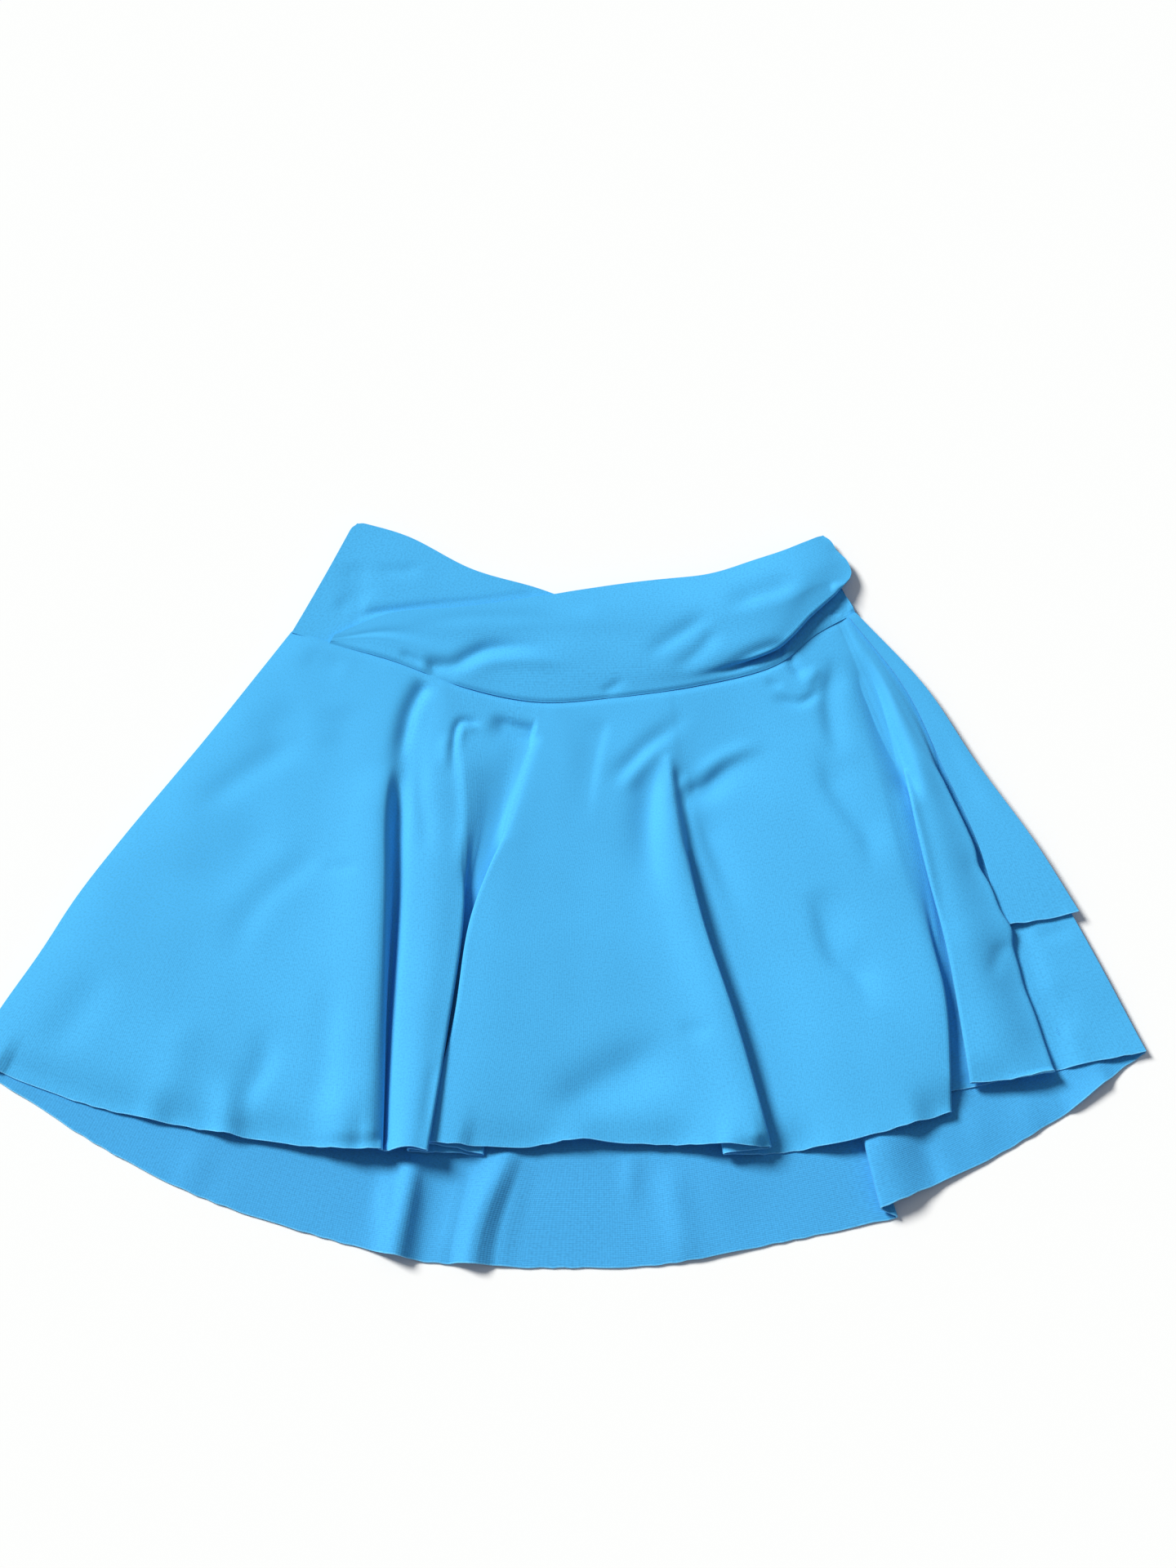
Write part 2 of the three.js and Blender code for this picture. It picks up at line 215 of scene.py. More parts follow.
@dataclass(frozen=True)
class Crease:
    """A soft trough or ridge laid on a piece.

    points run along it; depth is how far the cloth dips, and less than 0 for a ridge; left and right
    are how wide it is on each side of that way; start and end are the shares over which it fades in
    and out.
    """

    points: Table
    depth: float
    left: float
    right: float
    start: float = 0.35
    end: float = 0.35

    def dip(self, x: np.ndarray, y: np.ndarray) -> np.ndarray:
        """How far the cloth dips at each point.

        Args:
            x: X of the points.
            y: Y of the points.

        Returns:
            The dips in millimetres.
        """
        path = np.stack(Curve(self.points).at(np.linspace(0, 1, CREASE_STEPS + 1)), axis=1)
        reach = CREASE_REACH * max(self.left, self.right)
        near = np.flatnonzero(
            (x > path[:, 0].min() - reach) & (x < path[:, 0].max() + reach)
            & (y > path[:, 1].min() - reach) & (y < path[:, 1].max() + reach)
        )
        dips = np.zeros(len(x))
        if not len(near):
            return dips
        px, py = x[near, None], y[near, None]
        leg = path[1:] - path[:-1]
        size = np.maximum((leg**2).sum(1), 1e-9)
        share = np.clip(((px - path[:-1, 0]) * leg[:, 0] + (py - path[:-1, 1]) * leg[:, 1]) / size, 0, 1)
        dx = px - (path[:-1, 0] + share * leg[:, 0])
        dy = py - (path[:-1, 1] + share * leg[:, 1])
        gap = np.hypot(dx, dy)
        best = gap.argmin(1)
        rows = np.arange(len(near))
        side = leg[best, 0] * dy[rows, best] - leg[best, 1] * dx[rows, best]
        width = np.where(side > 0, self.left, self.right)
        done = (best + share[rows, best]) / len(leg)
        fade = smooth_step(0, self.start, done) * smooth_step(0, self.end, 1 - done)
        dips[near] = self.depth * bell(gap[rows, best], width) * fade
        return dips


@dataclass(frozen=True)
class Pull:
    """A small pull of the cloth by hand: where it is, which way it goes and how far it reaches."""

    at: tuple[float, float]
    shift: tuple[float, float, float]
    reach: float

    def move(self, made: np.ndarray) -> None:
        """Moves the points near it.

        Args:
            made: Rows, columns and coordinates, changed in place.
        """
        share = bell(np.hypot(made[:, :, 0] - self.at[0], made[:, :, 1] - self.at[1]), self.reach)
        made += share[:, :, None] * np.array(self.shift)


@dataclass(frozen=True)
class Patch:
    """A place where the cloth between two folds is eased smooth: where it is and how far it reaches."""

    at: tuple[float, float]
    reach: tuple[float, float]
    rounds: int

    def smooth(self, made: np.ndarray) -> None:
        """Evens the points near it out along each row.

        Args:
            made: Rows, columns and coordinates, changed in place.
        """
        x = (made[:, :, 0] - self.at[0]) / self.reach[0]
        y = (made[:, :, 1] - self.at[1]) / self.reach[1]
        share = 0.5 * bell(np.hypot(x, y), 1.0)[:, 1:-1, None]
        for _ in range(self.rounds):
            made[:, 1:-1] += share * ((made[:, :-2] + made[:, 2:]) / 2 - made[:, 1:-1])


@dataclass(frozen=True)
class Sheet:
    """A smooth sheet of cloth through its lines; u crosses the lines and v runs along them.

    seam is the curve that the first row follows, tuck how far above it; turn is how far from a folded
    edge the cloth bends, and open_slope how far it runs down there where the edge lies open.
    """

    lines: tuple[Line, ...]
    seam: Curve | None = None
    tuck: float = 0.0
    turn: float = 2.6
    open_slope: float = 1.7
    turn_most: float = 0.36
    slope_most: float = 0.2

    def guides(self, v: np.ndarray) -> np.ndarray:
        """The guide points that pull each section into shape, with four at each folded edge.

        Args:
            v: Where the sections lie, from 0 to 1.

        Returns:
            An array of sections, guides and coordinates.
        """
        places = [line.at(v) for line in self.lines]
        found: list[np.ndarray] = []
        for i, (line, p) in enumerate(zip(self.lines, places)):
            if line.over is None:
                found.append(p[:, :3])
                continue
            before, after = places[i - 1], places[i + 1]
            open_share = self._openness(before, p, after)
            slope = self.open_slope * open_share
            ease = (p[:, 2] - p[:, 3]) * open_share / 3
            found.append(self._towards(p, before, p[:, 2], self.turn, self.turn_most))
            found.append(self._towards(p, before, p[:, 2] - ease, slope, self.slope_most))
            found.append(self._towards(p, after, p[:, 3] + ease, slope, self.slope_most))
            found.append(self._towards(p, after, p[:, 3], self.turn, self.turn_most))
        return np.stack(found, axis=1)

    def _towards(
        self,
        start: np.ndarray,
        end: np.ndarray,
        height: np.ndarray,
        distance: float | np.ndarray,
        most: float,
    ) -> np.ndarray:
        """Points at the given height, a short way from one place towards another.

        Args:
            start: Where to begin.
            end: Where to head for.
            height: The heights of the points.
            distance: How far to go, in millimetres.
            most: The largest share of the way.

        Returns:
            One row of coordinates for each start.
        """
        gap = end[:, :2] - start[:, :2]
        length = np.maximum(np.maximum(np.hypot(gap[:, 0], gap[:, 1]), distance), 1e-6)
        share = np.minimum(distance / length, most)[:, None]
        return np.column_stack([start[:, :2] + gap * share, height])

    def _openness(self, before: np.ndarray, edge: np.ndarray, after: np.ndarray) -> np.ndarray:
        """How far an edge lies open: 1 where the cloth runs on, 0 where it turns back under.

        Args:
            before: Points of the line before the edge.
            edge: Points of the edge.
            after: Points of the line after it.

        Returns:
            One share from 0 to 1 for each point of the edge.
        """
        come = edge[:, :2] - before[:, :2]
        go = after[:, :2] - edge[:, :2]
        onward = (come * go).sum(1) / np.maximum(np.hypot(come[:, 0], come[:, 1]), 1e-6)
        return smooth_step(-self.turn, self.turn, onward)

    def points(self, u: np.ndarray, v: np.ndarray) -> np.ndarray:
        """Points of the sheet.

        Args:
            u: Places across the lines, from 0 to 1.
            v: Places along the lines, from 0 to 1.

        Returns:
            An array of rows, columns and coordinates, a row for each v.
        """
        made = self._section(self.guides(v), u)
        if self.seam is not None:
            start = self._section(self.guides(np.zeros(1)), u)[0]
            shift = self.seam.height_on(start[:, 0]) + self.tuck - start[:, 1]
            made[:, :, 1] += shift[None, :] * (1 - v)[:, None]
        return made

    def _section(self, guides: np.ndarray, u: np.ndarray) -> np.ndarray:
        """Sections on a smooth curve that their guides pull.

        Args:
            guides: The guide points of each section.
            u: Places across, from 0 to 1.

        Returns:
            An array of sections, places and coordinates.
        """
        spans = guides.shape[1] - 2
        place = np.clip(u, 0, 1) * spans
        i = np.minimum(place.astype(int), spans - 1)
        f = (place - i)[None, :, None]
        a, b, c = guides[:, i], guides[:, i + 1], guides[:, i + 2]
        start = np.where((i > 0)[None, :, None], (a + b) / 2, a)
        end = np.where((i < spans - 1)[None, :, None], (b + c) / 2, c)
        return start * (1 - f) ** 2 + b * 2 * f * (1 - f) + end * f**2

    def even_places(self, count: int, v: float, bend: float) -> np.ndarray:
        """Places across the sheet that are evenly far apart in the cloth, and closer where it bends.

        Args:
            count: How many spaces to make.
            v: The section that is measured.
            bend: Millimetres that one radian of bending counts for.

        Returns:
            count + 1 places from 0 to 1.
        """
        fine = np.linspace(0, 1, WIDTH_STEPS + 1)
        above, below = v * 0.55, min(v * 1.3, 1)
        rows = self.points(fine, np.array([above, v, below]))
        step = np.diff(rows, axis=1)
        length = np.linalg.norm(step, axis=2)
        way = step / np.maximum(length[:, :, None], 1e-9)
        turned = np.arccos(np.clip((way[:, 1:] * way[:, :-1]).sum(2), -1, 1))
        cost = length + bend * np.pad(turned, ((0, 0), (1, 0)))
        total = np.concatenate([[0], np.cumsum(cost.mean(0))])
        return np.interp(np.linspace(0, total[-1], count + 1), total, fine)


class ColourMix:
    """A colour mix node whose colour sockets go by name."""

    def __init__(
        self, tree: Tree, blend: str, first: Colour | None = None, second: Colour | None = None
    ) -> None:
        """Makes the node and fills in the colours that are fixed.

        Args:
            tree: The material's nodes.
            blend: How the colours mix.
            first: The first colour, if it is fixed.
            second: The second colour, if it is fixed.
        """
        node = tree.nodes.new("ShaderNodeMix")
        node.data_type = "RGBA"
        node.blend_type = blend
        self.factor, self.first, self.second = node.inputs[0], node.inputs[6], node.inputs[7]
        self.result = node.outputs[2]
        for socket, colour in ((self.first, first), (self.second, second)):
            if colour is not None:
                socket.default_value = (*colour, 1)


@dataclass(frozen=True)
class KnitFinish:
    """Smooth dense knit: its colour, sheen, grain and cut edge. Sizes are in metres.

    mottle and fleck are how much the dye and the loops vary in colour. The cut edge is a paler band
    along the raw hem: the light fuzz of the cut, with a painted highlight where the hem's rim catches
    the light. The scales say how fine the uneven dye, the flecks, the ragged edge of that band and the
    short fibres are.
    """

    name: str
    side: Side
    colour: Colour = (0.0665, 0.438, 0.835)
    cut_fuzz_and_highlight_colour: Colour = (0.15, 0.56, 0.92)
    roughness: float = 0.8
    specular: float = 0.18
    sheen: float = 0.22
    sheen_roughness: float = 0.45
    sheen_tint: Colour = (0.55, 0.85, 1.0)
    wale: float = 0.0011
    course: float = 0.0012
    wale_strength: float = 0.5
    wale_depth: float = 0.00006
    course_strength: float = 0.7
    course_depth: float = 0.0
    nap_strength: float = 0.45
    nap_depth: float = 0.00012
    mottle: float = 0.05
    fleck: float = 0.16
    cut_fuzz_and_highlight_width: float = 0.0005
    cloud_scale: float = 16
    fleck_scale: float = 800
    fray_and_highlight_scale: float = 700
    nap_scale: float = 900

    def material(self) -> bpy.types.Material:
        """Makes the material.

        Returns:
            A material that reads the piece's own UV map, across then up from the hem, in metres.
        """
        made = bpy.data.materials.new(self.name)
        made.use_nodes = True
        tree = made.node_tree
        shader = tree.nodes["Principled BSDF"]
        shader.inputs["Roughness"].default_value = self.roughness
        shader.inputs["Sheen Weight"].default_value = self.sheen
        shader.inputs["Sheen Roughness"].default_value = self.sheen_roughness
        shader.inputs["Sheen Tint"].default_value = (*self.sheen_tint, 1)
        shader.inputs["Specular IOR Level"].default_value = self.specular
        self._colour(tree, shader)
        self._relief(tree, shader)
        return made

    def _colour(self, tree: Tree, shader: Node) -> None:
        """Mixes soft uneven dye, fine flecks of the loops and the paler cut edge, which is partly painted
        highlight.

        Args:
            tree: The material's nodes.
            shader: The shader that takes the colour.
        """
        place = tree.nodes.new("ShaderNodeUVMap")
        clouds = self._noise(tree, place, self.cloud_scale, 3)
        flecks = self._noise(tree, place, self.fleck_scale, 3)
        dyed = ColourMix(tree, "MIX", self._dye(1 - self.mottle / 2), self._dye(1 + self.mottle / 2))
        tree.links.new(self._range(tree, clouds, 0.35, 0.65), dyed.factor)
        looped = ColourMix(tree, "MULTIPLY", second=(1 - self.fleck,) * 3)
        tree.links.new(self._range(tree, flecks, 0.42, 0.7), looped.factor)
        tree.links.new(dyed.result, looped.first)
        split = tree.nodes.new("ShaderNodeSeparateXYZ")
        tree.links.new(place.outputs["UV"], split.inputs["Vector"])
        # Paler band along the raw hem: the light fuzz of the cut, with a painted highlight of the hem's rim
        fray_and_highlight = tree.nodes.new("ShaderNodeMath")
        fray_and_highlight.operation = "MULTIPLY_ADD"
        fray_and_highlight.inputs[1].default_value = -self.cut_fuzz_and_highlight_width * 1.6
        tree.links.new(self._noise(tree, place, self.fray_and_highlight_scale, 1), fray_and_highlight.inputs[0])
        tree.links.new(split.outputs["Y"], fray_and_highlight.inputs[2])
        inner, outer = self.cut_fuzz_and_highlight_width * 0.6, -self.cut_fuzz_and_highlight_width * 0.4
        edge = ColourMix(tree, "MIX", second=self.cut_fuzz_and_highlight_colour)
        tree.links.new(self._range(tree, fray_and_highlight.outputs["Value"], inner, outer), edge.factor)
        tree.links.new(looped.result, edge.first)
        tree.links.new(edge.result, shader.inputs["Base Color"])

    def _dye(self, share: float) -> Colour:
        """The cloth's colour, a little lighter or darker."""
        return tuple(c * share for c in self.colour)

    def _relief(self, tree: Tree, shader: Node) -> None:
        """Raises the wales, the short fibres and, on the wrong side, the courses along the hem.

        Args:
            tree: The material's nodes.
            shader: The shader that takes the relief.
        """
        place = tree.nodes.new("ShaderNodeUVMap")
        wales = self._bands(tree, place, "X", self.wale)
        last = self._bump(tree, wales, self.wale_strength, self.wale_depth)
        if self.side is Side.WRONG:
            courses = self._bands(tree, place, "Y", self.course)
            last = self._bump(tree, courses, self.course_strength, self.course_depth, last)
        fibres = self._noise(tree, place, self.nap_scale, 3)
        nap = self._bump(tree, fibres, self.nap_strength, self.nap_depth, last)
        tree.links.new(nap.outputs["Normal"], shader.inputs["Normal"])

    def _bump(
        self, tree: Tree, height: Socket, strength: float, depth: float, below: Node | None = None
    ) -> Node:
        """Raises a relief on the cloth.

        Args:
            tree: The material's nodes.
            height: The relief's heights, from 0 to 1.
            strength: How strongly it shows.
            depth: Its depth in metres.
            below: The relief that it lies on, if there is one.

        Returns:
            The bump node.
        """
        bump = tree.nodes.new("ShaderNodeBump")
        bump.inputs["Strength"].default_value = strength
        bump.inputs["Distance"].default_value = depth
        tree.links.new(height, bump.inputs["Height"])
        if below is not None:
            tree.links.new(below.outputs["Normal"], bump.inputs["Normal"])
        return bump

    def _bands(self, tree: Tree, place: Node, way: str, period: float) -> Socket:
        """Slightly wavering parallel bands along one way of the cloth.

        Args:
            tree: The material's nodes.
            place: The node that gives the UV map.
            way: The axis that the bands step along.
            period: The distance from one band to the next.

        Returns:
            The bands' values.
        """
        wave = tree.nodes.new("ShaderNodeTexWave")
        wave.bands_direction = way
        wave.inputs["Scale"].default_value = math.pi / (10 * period)
        wave.inputs["Distortion"].default_value = 1.1
        wave.inputs["Detail"].default_value = 2.0
        wave.inputs["Detail Scale"].default_value = 0.4
        tree.links.new(place.outputs["UV"], wave.inputs["Vector"])
        return wave.outputs["Fac"]

    def _noise(self, tree: Tree, place: Node, scale: float, detail: float) -> Socket:
        """Soft random values over the cloth.

        Args:
            tree: The material's nodes.
            place: The node that gives the UV map.
            scale: How fine they are.
            detail: How much finer detail they have.

        Returns:
            The values.
        """
        noise = tree.nodes.new("ShaderNodeTexNoise")
        noise.inputs["Scale"].default_value = scale
        noise.inputs["Detail"].default_value = detail
        tree.links.new(place.outputs["UV"], noise.inputs["Vector"])
        return noise.outputs["Fac"]

    def _range(self, tree: Tree, value: Socket, low: float, high: float) -> Socket:
        """Stretches a value so that low gives 0 and high gives 1.

        Args:
            tree: The material's nodes.
            value: The value to stretch.
            low: What becomes 0.
            high: What becomes 1.

        Returns:
            The stretched value.
        """
        node = tree.nodes.new("ShaderNodeMapRange")
        node.inputs["From Min"].default_value = low
        node.inputs["From Max"].default_value = high
        tree.links.new(value, node.inputs["Value"])
        return node.outputs["Result"]


@dataclass
class ClothPiece:
    """A piece of cloth: its sheet, its creases and its own sizes, in millimetres.

    across and down count the faces each way, and rows says how close together they lie from the seam
    to the end. bend is the length of cloth that one radian of bending counts for when the faces across
    are shared out, at the share measured_at of the way down. The cloth between the lines is eased in
    ease_rounds rounds, fully down to ease_full of the way and no more from ease_end.
    """

    name: str
    sheet: Sheet
    across: int
    down: int
    wall: float
    creases: tuple[Crease, ...]
    finish: KnitFinish
    held: Held
    rests_on: tuple[str, ...]
    ending: Ending = Ending.RAW_HEM
    wander: float = 0.5
    length: float = 290
    hem_curl: float = 0.5
    curl_reach: float = 7
    hem_waver: float = 0.28
    waver_reach: float = 3
    seam_dip: float = 1.3
    seam_width: float = 2.0
    seam_rows: float = 0.1
    seam_from: float = 0.6
    dip_clear: float = 1.2
    dip_room: float = 3
    floor: float = 0.0
    bend: float = 4.0
    measured_at: float = 0.65
    rows: tuple[float, ...] = (1.0, 1.0)
    pulls: tuple[Pull, ...] = ()
    patches: tuple[Patch, ...] = ()
    ease_rounds: int = 0
    ease_full: float = 0.1
    ease_end: float = 0.3
    mapped_at: float = 0.7
    clear_of_cut: float = 20

    def build(self) -> bpy.types.Object:
        """Builds the piece, dresses it and puts it on its solid.

        Returns:
            The finished object.
        """
        u = self.sheet.even_places(self.across, self.measured_at, self.bend)
        v = self._down_places()
        middle = self._formed(u, v)
        mesh_maker = bmesh.new()
        mesh_maker.loops.layers.uv.new("UVMap")
        bmesh.ops.create_grid(
            mesh_maker, x_segments=self.across, y_segments=self.down, size=0.5, calc_uvs=True
        )
        self._map(mesh_maker, middle)
        mesh = bpy.data.meshes.new(self.name)
        mesh_maker.to_mesh(mesh)
        mesh_maker.free()
        mesh.polygons.foreach_set("use_smooth", [True] * len(mesh.polygons))
        piece = bpy.data.objects.new(self.name, mesh)
        bpy.context.scene.collection.objects.link(piece)
        mesh.materials.append(self.finish.material())
        wall = piece.modifiers.new("wall", "SOLIDIFY")
        wall.thickness = self.wall * MM
        wall.offset = 0
        self._declare(piece)
        return piece

    def _down_places(self) -> np.ndarray:
        """Places along the piece, closer together towards the end where rows says so.

        Returns:
            down + 1 places from 0 to 1.
        """
        share = np.linspace(0, 1, self.down + 1)
        density = along(self.rows, share)
        total = np.concatenate([[0], np.cumsum((density[1:] + density[:-1]) / 2)])
        return np.interp(share, total / total[-1], share)

    def _formed(self, u: np.ndarray, v: np.ndarray) -> np.ndarray:
        """The sheet's points with its creases, its unevenness and the curl of its raw hem.

        Args:
            u: Places across.
            v: Places along.

        Returns:
            An array of rows, columns and coordinates.
        """
        made = self.sheet.points(u, v)
        ease = 0.5 * (1 - smooth_step(self.ease_full, self.ease_end, v))[:, None, None]
        for _ in range(self.ease_rounds):
            made[:, 1:-1] += ease * ((made[:, :-2] + made[:, 2:]) / 2 - made[:, 1:-1])
        for patch in self.patches:
            patch.smooth(made)
        x, y = made[:, :, 0].ravel(), made[:, :, 1].ravel()
        lift = self._unevenness(x, y)
        for crease in self.creases:
            lift -= crease.dip(x, y)
        made[:, :, 2] += lift.reshape(made.shape[:2])
        self._shape_ends(made, u, v)
        for pull in self.pulls:
            pull.move(made)
        made[:, :, 2] = np.maximum(made[:, :, 2], self.wall / 2 + self.floor)
        return made

    def _unevenness(self, x: np.ndarray, y: np.ndarray) -> np.ndarray:
        """Slow and quick waves too soft to count as folds.

        Args:
            x: X of the points.
            y: Y of the points.

        Returns:
            The height of the waves at each point.
        """
        slow = np.sin(x / 23 + 0.8 * np.sin(y / 41)) * np.cos(y / 31 - x / 57)
        mid = np.sin(x / 9.1 + y / 14 + 1.3 * np.sin(x / 33)) * np.sin(y / 11.7 - x / 21)
        quick = np.sin(x / 3.9 + 2 * np.sin(y / 9)) * np.cos(y / 4.6 + x / 13)
        return self.wander * (0.62 * slow + 0.16 * mid + 0.035 * quick)

    def _shape_ends(self, made: np.ndarray, u: np.ndarray, v: np.ndarray) -> None:
        """Turns the sewn edge down into the seam and lets a raw hem curl and waver.

        Args:
            made: Rows, columns and coordinates, changed in place.
            u: Places across.
            v: Places along.
        """
        seam_y = SEAM.height_on(made[:, :, 0].ravel()).reshape(made.shape[:2])
        seam_gap = np.abs(made[:, :, 1] - seam_y)
        room = np.clip((made[:, :, 2] - self.floor - self.dip_clear) / self.dip_room, 0, 1)
        # A yoke piece meets the seam in its last columns, a skirt piece in its first rows
        near = (u > self.seam_from)[None, :]
        if self.ending is Ending.RAW_HEM:
            near = (v < self.seam_rows)[:, None]
            self._waver_hem(made, v)
        made[:, :, 2] -= self.seam_dip * bell(seam_gap, self.seam_width) * room * near

    def _waver_hem(self, made: np.ndarray, v: np.ndarray) -> None:
        """Curls a raw hem up here and there, and moves it a little to and fro.

        Args:
            made: Rows, columns and coordinates, changed in place.
            v: Places along.
        """
        reach = (1 - v)[:, None] * self.length
        cut = np.exp(-reach / self.curl_reach)
        x = made[-1, :, 0][None, :]
        ripple = np.sin(x / 5.3 + 1.7 * np.sin(x / 17)) + 0.6 * np.sin(x / 2.3 + 2 * np.sin(x / 7.1))
        made[:, :, 2] += self.hem_curl * cut * (0.55 + 0.45 * ripple)
        sway = np.exp(-reach / self.waver_reach) * np.sin(x / 3.1 + 2.4 * np.sin(x / 11))
        made[:, :, 1] += self.hem_waver * sway

    def _map(self, mesh_maker: bmesh.types.BMesh, middle: np.ndarray) -> None:
        """Moves a flat grid onto the sheet and lays its UV map out in metres of cloth.

        Args:
            mesh_maker: A unit grid with a UV map.
            middle: The sheet's points for its vertices.
        """
        chosen = middle[int(len(middle) * self.mapped_at)]
        across = np.concatenate([[0], np.cumsum(np.linalg.norm(np.diff(chosen, axis=0), axis=1))]) * MM
        down = np.concatenate([[0], np.cumsum(np.linalg.norm(np.diff(middle, axis=0), axis=2).mean(1))])
        down = (down[-1] - down if self.ending is Ending.RAW_HEM else down + self.clear_of_cut) * MM
        for vert in mesh_maker.verts:
            i = round((vert.co.x + 0.5) * self.across)
            j = round((0.5 - vert.co.y) * self.down)
            vert.index = j * (self.across + 1) + i
            vert.co = Vector(middle[j, i]) * MM
        for edge in mesh_maker.edges:
            edge.smooth = not edge.is_boundary
        layer = mesh_maker.loops.layers.uv.verify()
        for face in mesh_maker.faces:
            for loop in face.loops:
                j, i = divmod(loop.vert.index, self.across + 1)
                loop[layer].uv = (across[i], down[j])

    def _declare(self, piece: bpy.types.Object) -> None:
        """Puts the piece on its body and hides the solid that it stands in for.

        Args:
            piece: The finished object.
        """
        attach(piece, "root")
        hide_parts(self.name.removesuffix("_cloth"))


RIGHT_SIDE_KNIT = KnitFinish("sky_blue_knit", Side.RIGHT)
# The wrong side is darker for its duller face, and darker again as painted shade for the back's strip lying
# under the front's hem
WRONG_SIDE_SHADED_KNIT = KnitFinish(
    "sky_blue_knit_wrong_side_shaded", Side.WRONG, colour=(0.0592, 0.389, 0.777), course_depth=0.00009
)


